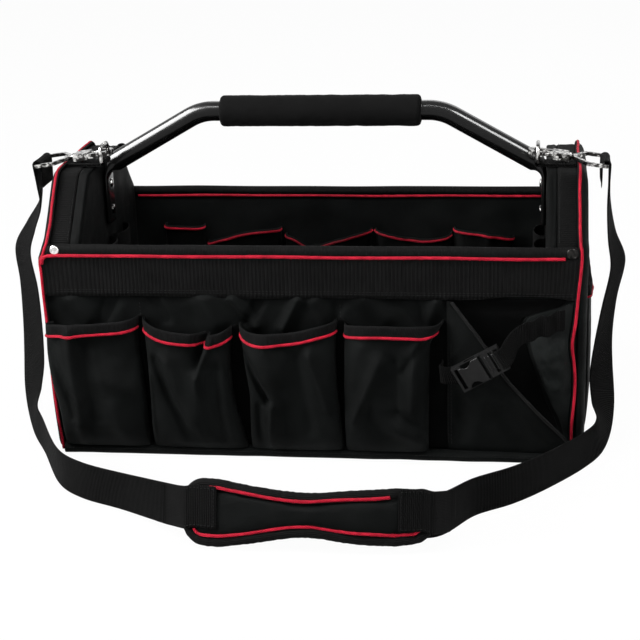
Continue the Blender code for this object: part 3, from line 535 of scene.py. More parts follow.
def tube_mesh(name, path, radius, material, hint=(0, 0, 1), sides=12, wide=1.0, closed=False, wobble=0.0):
    """A round or flattened tube along a path, flat across the hint where wide isn't 1."""
    path = np.asarray(path, float)
    if closed:
        path = path[:-1]
        tangent = unit_rows(np.roll(path, -1, 0) - np.roll(path, 1, 0))
    else:
        tangent = unit_rows(np.gradient(path, axis=0))
    hints = np.broadcast_to(np.asarray(hint, float), path.shape)
    first = unit_rows(hints - (hints * tangent).sum(1)[:, None] * tangent)
    second = np.cross(tangent, first)
    radii = np.full(len(path), float(radius))
    if wobble:
        radii *= [1 + wobble * noise.noise(Vector(p) * 260) for p in path]
    angle = round_angles(sides)[None, :, None]
    ring = first[:, None] * np.cos(angle) + second[:, None] * wide * np.sin(angle)
    points = path[:, None] + ring * radii[:, None, None]
    if not closed:
        return grid_mesh(name, points, material, wrap=True, caps=True)
    obj = grid_mesh(name, np.concatenate([points, points[:1]]), material, wrap=True)
    obj.modifiers.new("join", "WELD").merge_threshold = 1e-6
    return obj


def piping(name, line, radius, wobble, hint=(0, 0, 1), sides=12, replaces=()):
    """Red cord along a line, in place."""
    return settle(tube_mesh(name, line, radius, RED, hint, sides, wobble=wobble), replaces)


def webbing(name, path, across, width, thickness, columns=9, crown=0.0):
    """Webbing along a path: a grid as wide as the webbing, with a thickness and rounded edges."""
    path = np.asarray(path, float)
    across = unit_rows(np.broadcast_to(np.asarray(across, float), path.shape))
    normal = np.cross(unit_rows(np.gradient(path, axis=0)), across)
    share = np.linspace(-0.5, 0.5, columns)
    points = path[None] + across[None] * (share * width)[:, None, None]
    points = points + normal[None] * (crown * (1 - 4 * share**2))[:, None, None]
    return soften(thicken(grid_mesh(name, points, WEBBING), thickness))


def plate_mesh(name, outline, place, level, height, material, edge):
    """A flat plate: an outline in the plane of place, from a level above it to a height above that."""
    mesh = bpy.data.meshes.new(name)
    spots = [place @ Vector((x, y, z)) for z in (level, level + height) for x, y in outline]
    count = len(outline)
    sides = [(k, (k + 1) % count, (k + 1) % count + count, k + count) for k in range(count)]
    foot = tuple(reversed(range(count)))
    face = tuple(range(count, 2 * count))
    mesh.from_pydata([tuple(spot) for spot in spots], [], [foot, face, *sides])
    plate = bevelled(link_mesh(name, mesh, material), edge)
    mesh.shade_flat()
    return plate


# A stitch's rings: its share of the length, of the radius, and how far it is out in radii.
STITCH_RINGS = ((-0.5, 0.3, -0.2), (-0.28, 1.0, 0.7), (0.28, 1.0, 0.7), (0.5, 0.3, -0.2))
STITCH_RADIUS = 0.22 * MM


def stitches(name, path, normal, pitch=3.4 * MM, length=2.4 * MM):
    """A row of sewn stitches lying on a surface, as one mesh."""
    path = np.asarray(path, float)
    normals = np.broadcast_to(np.asarray(normal, float), path.shape)
    count = max(2, int(run_lengths(path)[-1] / pitch))
    line = resample(np.hstack([path, normals]), count * 2)
    shape = bmesh.new()
    for near, far in zip(line[::2], line[1::2]):
        start, end = near[:3], far[:3]
        on = unit_rows(end - start)
        out = unit_rows(near[3:])
        cross = np.cross(on, out)
        rings = []
        for t, wide, high in STITCH_RINGS:
            centre = (start + end) / 2 + on * (length * t) + out * (STITCH_RADIUS * high)
            around = (cross * math.cos(a) + out * math.sin(a) for a in round_angles(6))
            rings.append([shape.verts.new(centre + spot * STITCH_RADIUS * wide) for spot in around])
        for first, second in zip(rings, rings[1:]):
            for j in range(6):
                shape.faces.new((first[j], first[(j + 1) % 6], second[(j + 1) % 6], second[j]))
        shape.faces.new(rings[0][::-1])
        shape.faces.new(rings[-1])
    bmesh.ops.recalc_face_normals(shape, faces=shape.faces)
    return settle(link_mesh(name, finished(name, shape), THREAD))


# Camera, floor and light

CAMERA_PLACE = (0.208, -1.528, 0.630)
YAW, PITCH, ROLL = -0.1398, 0.3304, -0.0328
FLOOR_REACH = 14.0
# Each lamp: its place, the spot that it faces, its width, height and power. The gleams light only what is
# glossy.
LAMPS = {
    "overhead": ((-0.5, -0.9, 1.9), (0, 0, 0.10), 0.8, 0.6, 14.0),
    "front_left": ((-1.9, -1.0, 0.9), (0, 0, 0.12), 0.5, 0.6, 40.0),
    "front_right": ((1.9, -1.1, 0.9), (0, 0, 0.12), 0.5, 0.7, 12.0),
    "behind": ((0.2, 1.9, 1.5), (0, 0, 0.2), 1.8, 0.8, 14.0),
    "tube_strip": ((0.0, -0.75, 1.75), (0, 0, 0.3), 2.6, 0.03, 22.0),
    "gleam_left": ((-1.24, -0.36, 1.24), (-0.17, 0, 0.29), 1.2, 0.9, 185.0),
    "gleam_right": ((0.99, -0.62, 1.46), (0.17, 0, 0.29), 0.62, 0.36, 33.0),
}


def make_camera():
    """The photograph's view, fitted to the bag's corners."""
    camera = bpy.data.cameras.new("camera")
    camera.sensor_width = 36.0
    camera.lens = 90.0
    camera.clip_start = 0.05
    camera.clip_end = 60.0
    obj = add_object("camera", camera)
    level = math.cos(PITCH)
    forward = Vector((math.sin(YAW) * level, math.cos(YAW) * level, -math.sin(PITCH)))
    right = Vector((math.cos(YAW), -math.sin(YAW), 0.0))
    upright = right.cross(forward)
    turned_right = right * math.cos(ROLL) + upright * math.sin(ROLL)
    turned_up = upright * math.cos(ROLL) - right * math.sin(ROLL)
    turn = Matrix((turned_right, turned_up, -forward)).transposed().to_4x4()
    obj.matrix_world = Matrix.Translation(CAMERA_PLACE) @ turn
    bpy.context.scene.camera = obj


def white_for_view(tree, plain, white, output, share):
    """The plain shader for light, and a share of the white one where camera, metal and glass see it."""
    rays = tree.nodes.new("ShaderNodeLightPath")
    total = rays.outputs["Is Camera Ray"]
    for kind in ("Is Glossy Ray", "Is Transmission Ray"):
        most = tree.nodes.new("ShaderNodeMath")
        most.operation = "MAXIMUM"
        tree.links.new(total, most.inputs[0])
        tree.links.new(rays.outputs[kind], most.inputs[1])
        total = most.outputs[0]
    part = tree.nodes.new("ShaderNodeMath")
    part.operation = "MULTIPLY"
    part.inputs[1].default_value = share
    tree.links.new(total, part.inputs[0])
    blend = tree.nodes.new("ShaderNodeMixShader")
    tree.links.new(part.outputs[0], blend.inputs["Fac"])
    tree.links.new(plain.outputs[0], blend.inputs[1])
    tree.links.new(white.outputs[0], blend.inputs[2])
    tree.links.new(blend.outputs[0], output.inputs["Surface"])


def make_floor():
    mesh = bpy.data.meshes.new("floor")
    corners = [(x * FLOOR_REACH, y * FLOOR_REACH, 0) for x, y in ((-1, -1), (1, -1), (1, 1), (-1, 1))]
    mesh.from_pydata(corners, [], [(0, 1, 2, 3)])
    floor = add_object("floor", mesh)
    floor.location.z = -0.6 * MM
    made = bpy.data.materials.new("white_floor")
    made.use_nodes = True
    tree = made.node_tree
    tree.nodes.clear()
    output = tree.nodes.new("ShaderNodeOutputMaterial")
    diffuse = tree.nodes.new("ShaderNodeBsdfDiffuse")
    diffuse.inputs["Color"].default_value = (0.88, 0.88, 0.88, 1.0)
    white_for_view(tree, diffuse, tree.nodes.new("ShaderNodeEmission"), output, 0.97)
    mesh.materials.append(made)


def make_world():
    """A world that lights the bag dimly and looks white."""
    world = bpy.data.worlds.new("studio")
    bpy.context.scene.world = world
    world.use_nodes = True
    tree = world.node_tree
    tree.nodes.clear()
    output = tree.nodes.new("ShaderNodeOutputWorld")
    soft = tree.nodes.new("ShaderNodeBackground")
    white = tree.nodes.new("ShaderNodeBackground")
    for background in (soft, white):
        background.inputs["Color"].default_value = (1.0, 1.0, 1.0, 1.0)
    soft.inputs["Strength"].default_value = 0.10
    white_for_view(tree, soft, white, output, 1.0)


def make_lights():
    for name, (spot, aim, wide, high, power) in LAMPS.items():
        lamp = bpy.data.lights.new(name, "AREA")
        lamp.shape = "RECTANGLE"
        lamp.size = wide
        lamp.size_y = high
        lamp.energy = power
        holder = add_object(name, lamp)
        holder.visible_diffuse = not name.startswith("gleam")
        look = (Vector(aim) - Vector(spot)).to_track_quat("-Z", "Y")
        holder.matrix_world = Matrix.Translation(spot) @ look.to_matrix().to_4x4()
    bpy.context.scene.view_settings.view_transform = "Standard"


# The body of the bag

# How far the piped front corners bulge outwards at each height, in millimetres.
CORNER_BULGE = {
    -1: ((0.0, 0.8), (0.04, 4.0), (0.07, 5.6), (0.135, 6.6), (0.180, 8.0), (0.196, 8.4), (0.203, 5.0),
         (0.215, 0.6)),
    1: ((0.0, -2.0), (0.035, -4.2), (0.075, -1.6), (0.10, -3.0), (0.12, -5.6), (0.145, -2.2), (0.18, 0.6),
        (0.206, 1.8), (0.215, 0.6)),
}
# Slanted creases of the front cloth under the rim, as rows for ridges.
CREASES = (
    (-0.226, 0.157, -0.214, 0.138, 0.008, 2.4), (-0.190, 0.160, -0.204, 0.136, 0.007, -1.8),
    (-0.150, 0.161, -0.140, 0.140, 0.006, -1.6), (-0.100, 0.158, -0.090, 0.138, 0.012, 2.8),
    (-0.074, 0.162, -0.052, 0.134, 0.005, 2.6), (-0.048, 0.158, -0.060, 0.138, 0.005, -2.2),
    (-0.012, 0.160, -0.026, 0.132, 0.005, 2.8), (0.006, 0.158, 0.014, 0.140, 0.009, 2.2),
    (0.030, 0.162, 0.022, 0.140, 0.005, -1.8), (0.052, 0.160, 0.070, 0.142, 0.010, 1.6),
    (0.094, 0.158, 0.104, 0.140, 0.008, -2.0), (0.118, 0.158, 0.112, 0.142, 0.006, 1.8),
)
CREASE_STRENGTH = 2.2
# The cloth right of the holster's mouth, which bulges out of the recess: centre, half sizes and depth.
BULGE = (0.2290, 0.1020, 0.0185, 0.0300, 9.0)
# Where the recess behind the holster ends at the right: (height, x).
RECESS_EDGE = ((0.000, 0.240), (0.040, 0.231), (0.060, 0.222), (0.085, 0.2135), (0.105, 0.206),
               (0.125, 0.2010), (0.143, 0.1985), (0.151, 0.217), (0.158, 0.236), (0.170, 0.240))
# The hem's profile at the front and at the back: how far out and how high, in millimetres. Its cloth swells
# and sinks along the edge by a share of the last value here.
HEMS = {
    -1: ((-0.2, 0.4), (4.0, 0.6), (7.0, 2.2), (8.4, 5.4), (7.8, 8.6), (5.2, 10.4), (-0.6, 10.9)),
    1: ((-0.2, 0.4), (1.0, 0.6), (2.0, 2.6), (2.6, 6.0), (2.3, 9.6), (1.2, 11.8), (-0.6, 11.4)),
}
HEM_SWELL = 2.6


def corner_bulge(side, z):
    return knots(CORNER_BULGE[side], z) * MM


def widened(x, z, side):
    """x moved outwards near the front's piped corners. The back stays as it is."""
    if side > 0:
        return x
    near = HALF_LENGTH - 0.05
    left = corner_bulge(-1, z) * step(-x, near, HALF_LENGTH)
    right = np.maximum(corner_bulge(1, z), 0) * step(x, near, HALF_LENGTH)
    return x - left + right


def front_out(x, z):
    """How far the front cloth stands out of its flat place."""
    free = step(z, 0.010, 0.050) * (1 - step(z, 0.160, 0.172))
    out = -1.0 + 1.3 * rumple(x, z, 3, 0.05) + CREASE_STRENGTH * ridges(x, z, CREASES)
    x0, z0, wide, high, depth = BULGE
    edge = knots(RECESS_EDGE, z)
    inside = step(x, edge - 0.002, edge + 0.006)
    lump = np.exp(-(((x - x0) / wide) ** 4) - ((z - z0) / high) ** 4)
    lump = lump * (1 - 0.85 * step(x, x0 + 7 * MM, x0 + 15 * MM))
    out = out + inside * lump * (depth + 2.6 * rumple(x, z, 17, 0.013))
    hollow = step(x, 0.128, 0.140) * (1 - inside) * (1 - step(z, 0.150, 0.162))
    out = out * (1 - hollow) - 2.6 * hollow
    return np.clip(out, -3.0, 12.0) * free * MM


def panel_grid(x_range, z_range, columns, rows):
    return np.meshgrid(np.linspace(*x_range, columns), np.linspace(*z_range, rows))


def over_front(name, x, z, lift, material, thickness):
    """Cloth that lies on the front cloth, at a lift off it."""
    sheet(name, x, -HALF_DEPTH - front_out(x, z) - lift, z, material, thickness)


def make_front():
    """The front cloth, a near-black sheet of painted shade behind the holster, and a lighter cloth at the
    corner beside it that is a painted highlight.
    """
    x, z = panel_grid((-HALF_LENGTH, HALF_LENGTH), (FOOT, PANEL_TOP), 330, 130)
    y = -HALF_DEPTH - front_out(x, z)
    sheet("front_cloth", widened(x, z, -1), y, z, FABRIC, 3.2 * MM, -1.0, replaces=["front_panel"])

    shares, z = panel_grid((0.0, 1.0), (0.012, 0.1635), 40, 60)
    first = HOLSTER_SEAM + 0.112 * np.clip((0.158 - z) / 0.15, 0, 1)
    x = first + (knots(RECESS_EDGE, z) - first) * shares
    # A near-black sheet of painted shade inside the holster's mouth.
    over_front("holster_painted_shade", x, z, 0.5 * MM, SHADE_CLOTH, 0.4 * MM)

    z = np.linspace(0.014, 0.1600, 60)
    edge = knots(RECESS_EDGE, z) + 4 * MM
    last = HALF_LENGTH - 2.4 * MM + np.minimum(corner_bulge(1, z), 0)
    x = edge + (last - edge) * np.linspace(0, 1, 46)[:, None]
    # The corner's cloth is painted lighter as a painted highlight on the bulge.
    over_front("corner_cloth", x, np.broadcast_to(z, x.shape), 0.7 * MM, LIT_CLOTH, 0.5 * MM)


def make_back():
    x, z = panel_grid((-HALF_LENGTH, HALF_LENGTH), (FOOT, PANEL_TOP), 170, 80)
    sag = 2.6 * MM * rumple(x, z, 11, 0.085) * step(z, 0.01, 0.04) * (1 - step(z, 0.17, 0.20))
    y = HALF_DEPTH - 1.5 * MM + np.clip(sag, -1.5 * MM, 1.4 * MM)
    sheet("back_cloth", x, y, z, FABRIC, 2.4 * MM, 1.0, replaces=["back_panel"])


def make_base():
    """The base's cloth, and the lining over its stiffener."""
    shape = bmesh.new()
    bmesh.ops.create_cube(shape, size=1.0)
    for vertex in shape.verts:
        share = vertex.co
        vertex.co = Vector((share.x * 2 * HALF_LENGTH, share.y * 2 * HALF_DEPTH, (share.z + 0.5) * 3 * MM))
    base = link_mesh("base_cloth", finished("base_cloth", shape), BOARD)
    settle(bevelled(base, 1.1 * MM), replaces=["base_panel"])
    long, deep = END_IN - 1.2 * MM, PANEL_IN - 1.2 * MM
    x, y = panel_grid((-long, long), (-deep, deep), 90, 50)
    z = 7.6 * MM + 0.5 * MM * rumple(x, y, 5, 0.07)
    sheet("floor_lining", x, y, z, LINING, 4.0 * MM, -1.0, "board", ["base_board"])


def make_hems():
    """The cloth turned up round the foot of the front and the back, with its stitches."""
    for word, side in FACES:
        out, up = np.array(HEMS[side]).T[:, :, None]
        runs = np.linspace(-HALF_LENGTH + 0.4 * MM, HALF_LENGTH - 0.4 * MM, 200)
        swell = 0.5 * ripple(runs * 30, side * 4.0, 2.0)
        level = 1.3 * MM * ripple(runs * 17, side * 4.0, 6.0)
        reach = HALF_DEPTH + (out + np.minimum(out, HEM_SWELL) * swell) * MM
        sheet(f"{word}_hem", runs, side * reach, up * MM + level * (up / 11.8), FABRIC, 0.7 * MM)
        reach = HALF_DEPTH + (out.max() + 0.2 + HEM_SWELL * swell) * MM
        line = points_of(runs, side * reach, 7.2 * MM + level * 0.6)
        stitches(f"{word}_hem_stitches", line[2:-2], (0, side, 0.2))


# End walls

GUSSET_SEAM = 0.2292
QUILT_SHARE = 0.855


def end_outline(grow, corner, count=160):
    """The outline of an end wall as (y, z), from the front foot over the top to the back foot."""
    half = [(-END_HALF - grow, FOOT), (-END_HALF - grow, RIM), (-END_TOP_HALF - grow, END_TOP + grow)]
    return resample(rounded_corners(mirrored(half), [corner] * 4), count)


def filled_outline(name, outline, x_of, material, rings):
    """A sheet that fills an outline in (y, z) by rings that shrink to its middle. x_of gives each x."""
    middle = np.array([0.0, 0.5 * (outline[:, 1].min() + outline[:, 1].max())])
    loop = np.vstack([outline, np.linspace(outline[-1], outline[0], 40)[1:-1]])
    rows = []
    for t in np.linspace(1.0, 0.0, rings):
        ring = middle + (loop - middle) * max(t, 0.004)
        rows.append([(x_of(y, z, t), y, z) for y, z in ring])
    obj = grid_mesh(name, rows, material, wrap=True)
    mesh = obj.data
    layer = mesh.uv_layers["UVMap"]
    for corner in mesh.loops:
        spot = mesh.vertices[corner.vertex_index].co
        layer.data[corner.index].uv = (spot.y, spot.z)
    obj.modifiers.new("close", "WELD").merge_threshold = 0.6 * MM
    return obj


def make_outer_cloth(word, side):
    """The padded cloth on the outside of an end, with its quilting seam."""
    outline = end_outline(4.0 * MM, 0.020)
    bulge_at = curve_through(CORNER_BULGE[side])

    def outer_x(y, z, t):
        edge = 1 - t
        full = OUTER_FULL * (1 - (1 - min(edge / 0.17, 1.0)) ** 2.4) ** 0.5
        crease = 0.9 * MM * cloudy(y * 16, z * 16, 3.0 + side)
        quilt = 0.8 * MM * math.exp(-(((t - 0.86) / 0.02) ** 2))
        flare = max(0.0, float(bulge_at(z)) * MM) * math.exp(-(((y + 0.114) / 0.022) ** 2))
        swell = min(full + crease * min(edge / 0.2, 1.0), OUTER_FULL) - quilt
        return side * (OUTER_START + max(0.6 * MM, swell + flare * 0.8))

    outer = filled_outline(f"{word}_outer_cloth", outline, outer_x, FABRIC, 44)
    settle(thicken(outer, 1.0 * MM, -float(side)), replaces=[f"{word}_end_outer_panel"])
    middle = outline[:, 1].max() / 2
    y, z = QUILT_SHARE * (outline - (0.0, middle)).T
    seam = points_of(side * (OUTER_START + 8.0 * MM), y, middle + z)
    stitches(f"{word}_outer_stitches", seam, (side, 0, 0), 4.2 * MM, 2.8 * MM)


def make_end_lining(word, side):
    def inner_x(y, z, t):
        soft = 1.2 * MM * cloudy(y * 20, z * 20, 9.0 + side)
        return side * (END_IN + 1.0 * MM + soft * min((1 - t) / 0.2, 1.0))

    lining = filled_outline(f"{word}_end_lining", end_outline(-0.6 * MM, 0.016), inner_x, LINING, 26)
    settle(thicken(lining, 1.4 * MM, float(side)), replaces=[f"{word}_end_inner_panel", f"{word}_end_core"])


def make_gusset(word, side):
    """The webbing over an end wall's edge, the lining's fold inside it, and the seam between them."""
    over = end_outline(1.2 * MM, 0.0165, 260)
    upper = over[over[:, 1] > RIM - 9 * MM]
    away = unit_rows(upper - np.array([0.0, 0.14]))
    (y, z), (a, b) = upper.T, away.T
    k = np.linspace(0, 1, 16)[:, None]
    for part, inner, outer, material, lift, replaced in (
        ("web", GUSSET_SEAM + 0.4 * MM, HALF_LENGTH + 0.2 * MM, GUSSET_WEB, 0.5 * MM, [f"{word}_end_gusset"]),
        ("cloth", END_IN + 0.2 * MM, GUSSET_SEAM - 0.4 * MM, LINING, 0.1 * MM, ()),
    ):
        x = side * (inner + (outer - inner) * k + 0.6 * MM * ripple(y * 24, z * 24, 5.0 + k))
        swell = lift - MM * np.abs(2 * k - 1) ** 6 + 0.7 * MM * ripple(y * 40, k * 2.0, side)
        name = f"{word}_gusset_{part}"
        sheet(name, x, y + a * swell, z + b * swell, material, 1.3 * MM, 0.0, "webbing", replaced)
    line = points_of(side * (GUSSET_SEAM + 2.2 * MM), y + a * 1.3 * MM, z + b * 1.3 * MM)
    stitches(f"{word}_gusset_stitches", line[4:-4], (0, 0, 1))


def make_end_piping(word, side):
    """The red piping round an end wall, and the flange that holds it."""
    y, z = end_outline(5.2 * MM, 0.021, 240).T
    front = step(-y, 0.100, 0.112)
    wave = 0.91 * MM * ripple(y * 30, z * 30, side * 2.0)
    x = side * (OUTER_START + 1.0 * MM + wave + corner_bulge(side, z) * front)
    y = y - 1.6 * MM * front
    piping(f"{word}_end_cord", points_of(x, y, z), 1.4 * MM, 0.06, (1, 0, 0), 12, [f"{word}_end_piping"])
    flange = points_of(x - side * 0.6 * MM, y * 0.992, z - 0.4 * MM)
    settle(tube_mesh(f"{word}_end_flange", flange, 1.9 * MM, BINDING, (1, 0, 0), 10, wide=0.7))


def make_end_walls():
    for word, side in SIDES:
        make_outer_cloth(word, side)
        make_end_lining(word, side)
        make_gusset(word, side)
        make_end_piping(word, side)


# Rims and rivets

RIM_HALF = HALF_LENGTH - 0.6 * MM
RIM_FACE = HALF_DEPTH + 0.4 * MM
BAND_FOOT = 0.1622
BAND_TOP = 0.2036
BAND_SEAMS = (0.1668, 0.1690)
# Where the band dips at the right, as a row for ridges.
BAND_DIP = ((0.190, 0.0, 0.214, 0.0, 0.02, 4.0),)
# The binding over the rim: how far out and how high, in millimetres.
RIM_BINDING = ((2.4, 203.4), (3.0, 205.6), (3.1, 208.6), (2.0, 211.2), (-1.0, 212.2), (-3.9, 211.6),
               (-5.0, 209.0), (-5.3, 205.2))
# Where the front piping turns down at the left corner.
CORD_TURN = ((-0.2565, -0.1172, 0.1940), (-0.2555, -0.1178, 0.1990), (-0.2520, -0.1178, 0.2019),
             (-0.2460, -0.1176, 0.2026))
# Profiles of a rivet's head and of the ring round it: shares of its height and of its radius.
DOME = ((0.0, 0.80), (0.0, 1.0), (0.22, 1.04), (0.45, 0.99), (0.72, 0.80), (0.92, 0.50), (1.0, 0.18),
        (1.0, 0.0))
RING = ((0.0, 0.98), (0.30, 1.16), (0.55, 1.12), (0.60, 0.98), (0.40, 0.86))
RIVET_RADIUS = 4.4 * MM
FOOT_FACE_X = 0.2144
FOOT_RIVETS = (("lower", 0.2175), ("upper", 0.2445))


def make_rim_band(word, side):
    """The ribbed webbing round the rim, with two rows of stitches."""
    x, z = panel_grid((-RIM_HALF, RIM_HALF), (BAND_FOOT, BAND_TOP), 1100, 14)
    rib = 0.22 * MM * np.sin(2 * math.pi * x / (3.7 * MM))
    wave = 0.7 * MM * rumple(x, z * 2, 21 + side, 0.07, 2)
    tuck = 0.8 * MM * (1 - step(z, BAND_FOOT, 0.1650))
    y = side * (RIM_FACE + 1.3 * MM + wave + rib - tuck)
    dip = 1.3 * rumple(x, x * 0, 8 + side, 0.12, 2) + ridges(x, x * 0, BAND_DIP)
    low = z + np.clip((0.18 - z) / 0.018, 0, 1) * dip * MM
    name = f"{word}_rim_band"
    sheet(name, widened(x, z, side), y, low, RIM_WEB, 1.6 * MM, 0.0, "webbing", [f"{word}_rim_webbing"])
    runs = np.linspace(-RIM_HALF + 4 * MM, RIM_HALF - 4 * MM, 90)
    for level in BAND_SEAMS:
        line = points_of(runs, side * (RIM_FACE + 2.4 * MM), level + 0.5 * MM * ripple(runs * 20, 1, side))
        stitches(f"{word}_band_stitches_{round(level * 1e4)}", line, (0, side, 0), 3.6 * MM, 2.5 * MM)


def make_rim_top(word, side):
    """The smooth binding over the rim, and the red piping under it."""
    runs = np.linspace(-RIM_HALF, RIM_HALF, 170)
    out, up = np.array(RIM_BINDING).T[:, :, None] * MM
    height = up + 0.7 * MM * ripple(runs * 14, 3.0 + side, 0.5)
    x = widened(runs, height, side)
    sheet(f"{word}_rim_binding", x, side * (HALF_DEPTH + out), height, BINDING, 0.9 * MM, 0.0, "webbing")
    reach = HALF_LENGTH - 11.5 * MM
    runs = np.linspace(-reach, reach, 160)
    height = 0.2028 + 0.8 * MM * ripple(runs * 13, 6.0, side)
    line = points_of(runs, side * (HALF_DEPTH + 3.5 * MM), height)
    if side < 0:
        line = [*CORD_TURN, *line[2:]]
    line = smooth_curve(line, 260, 3)
    piping(f"{word}_rim_cord", line, 1.6 * MM, 0.05, replaces=[f"{word}_rim_piping"])


def make_rims():
    for word, side in FACES:
        make_rim_band(word, side)
        make_rim_top(word, side)
    reach = END_IN - 4 * MM
    runs = np.linspace(-reach, reach, 140)
    line = points_of(runs, PANEL_IN - 0.8 * MM, 0.2030 + 0.9 * MM * ripple(runs * 12, 1.0, 7.0))
    piping("inner_rim_cord", line, 1.5 * MM, 0.05)


def turned(name, profile, spot, out, height, material):
    """A small turned piece that stands out from a spot."""
    turn = UP.rotation_difference(Vector(out)).to_matrix()
    rows = []
    for up, wide in profile:
        radius = RIVET_RADIUS * wide
        ring = (Vector((radius * math.cos(a), radius * math.sin(a), height * up)) for a in round_angles(28))
        rows.append([tuple(Vector(spot) + turn @ local) for local in ring])
    return grid_mesh(name, rows, material, wrap=True)


def make_rivets():
    """Rivet heads on the handle's feet and at the rim's corners; the corner rivets have a painted reflection
    at the left and painted shade at the right.
    """
    for word, side in FACES:
        for end, along in SIDES:
            spot = (along * (HALF_LENGTH - 5.5 * MM), side * (HALF_DEPTH + 3.1 * MM), RIM - 4.2 * MM)
            # The same rivet painted light at the left as a painted reflection, and near-black at the right as
            # painted shade.
            metal = SHADED_NICKEL if along > 0 else LIT_NICKEL
            head = turned(f"{word}_{end}_rivet_head", DOME, spot, (0, side, 0), 1.6 * MM, metal)
            settle(head, [f"{word}_{end}_corner_rivet"])
            if along > 0:
                washer = turned(f"{word}_{end}_rivet_ring", RING, spot, (0, side, 0), 1.6 * MM, metal)
                settle(thicken(washer, 0.3 * MM))
    for end, along in SIDES:
        for level, height in FOOT_RIVETS:
            spot = (along * FOOT_FACE_X, 0, height)
            head = turned(f"{end}_foot_rivet_{level}", DOME, spot, (-along, 0, 0), 1.8 * MM, NICKEL)
            settle(head, [f"{end}_handle_rivet_{level}"])


# Pockets

FOLD_STRENGTH = 1.75


@dataclass
class Pocket:
    """A patch pocket by given curves: its edges over its height, and its mouth over its width."""

    name: str
    left: tuple
    right: tuple
    mouth: tuple
    depth: float
    seed: int
    folds: tuple
    pleats: tuple = ()
    foot: float = 8.5 * MM
    wrap: float = 0.0
    drop: float = 10.5 * MM

    def surface(self, columns=110, rows=66, square=(4.6, 2.5), rough=1.0):
        """x, how far out of the wall, and z of the cloth, row by row from the foot to the mouth."""
        v = np.linspace(0, 1, rows)[:, None]
        angle = math.pi * (1 - np.linspace(0, 1, columns)[None, :])
        power = 2 / (square[0] + (square[1] - square[0]) * step(v, 0.45, 1.0))
        wide = np.sign(np.cos(angle)) * np.abs(np.cos(angle)) ** power
        deep = np.maximum(np.sin(angle), 0) ** power
        left = knots(self.left, v)
        right = knots(self.right, v)
        u = (wide + 1) / 2
        x = left + (right - left) * u
        x = x + self.wrap * step(v, 0.40, 0.65) * (1 - deep) ** 2 * (wide < 0)
        z = self.foot + (knots(self.mouth, u) - self.foot) * v
        rise = 0.12 + 0.88 * np.sqrt(1 - (1 - np.clip(v / 0.30, 0, 1)) ** 2)
        lean = 1 - 0.10 * step(v, 0.6, 1.0)
        soft = deep * np.clip(v * 5, 0, 1) * MM
        v = np.broadcast_to(v, u.shape)
        folds = ridges(u, v, self.folds) + ridges(u, v, self.pleats, pleat)
        cloth = 1.5 * rough * rumple(x, z, self.seed, 0.040) + FOLD_STRENGTH * folds
        return x, np.maximum(self.depth * rise * lean * deep + cloth * soft, 0.4 * MM), z


def row_below(shape, drop):
    """The points of a pocket's surface at a distance below its mouth."""
    z = shape[2]
    share = (1 - drop / (z[-1] - z[0])) * (z.shape[0] - 1)
    low = np.clip(np.floor(share).astype(int), 0, z.shape[0] - 2)
    part = share - low
    columns = np.arange(z.shape[1])
    return [grid[low, columns] * (1 - part) + grid[low + 1, columns] * part for grid in shape]


def make_pocket(pocket, shape, to_world, cloth, cord_radius=1.45 * MM):
    """The cloth, the binding folded over its mouth, and the red piping under that."""
    name = f"{pocket.name}_cloth"
    sheet(name, *to_world(*shape), cloth, 1.3 * MM, -1.0, replaces=[pocket.name])
    rows = [[grid + lift for grid, lift in zip(row_below(shape, 0.0), (0.0, -1.6 * MM, -2.5 * MM))]]
    for k, drop in enumerate(np.linspace(0, pocket.drop, 9)):
        x, out, z = row_below(shape, drop)
        swell = (0.8 + 0.5 * math.sin(math.pi * k / 8)) * MM
        rows.append([x, out + swell, z + (0.8 * MM if k == 0 else 0.0)])
    binding = to_world(*np.stack(rows, 1))
    sheet(f"{name}_binding", *binding, BINDING, 0.9 * MM, 0.0, "webbing")
    x, out, z = row_below(shape, pocket.drop)
    line = points_of(*to_world(x, out + 1.5 * MM, z))
    piping(f"{name}_cord", smooth_curve(line[::2], 150, 4), cord_radius, 0.07, sides=10)


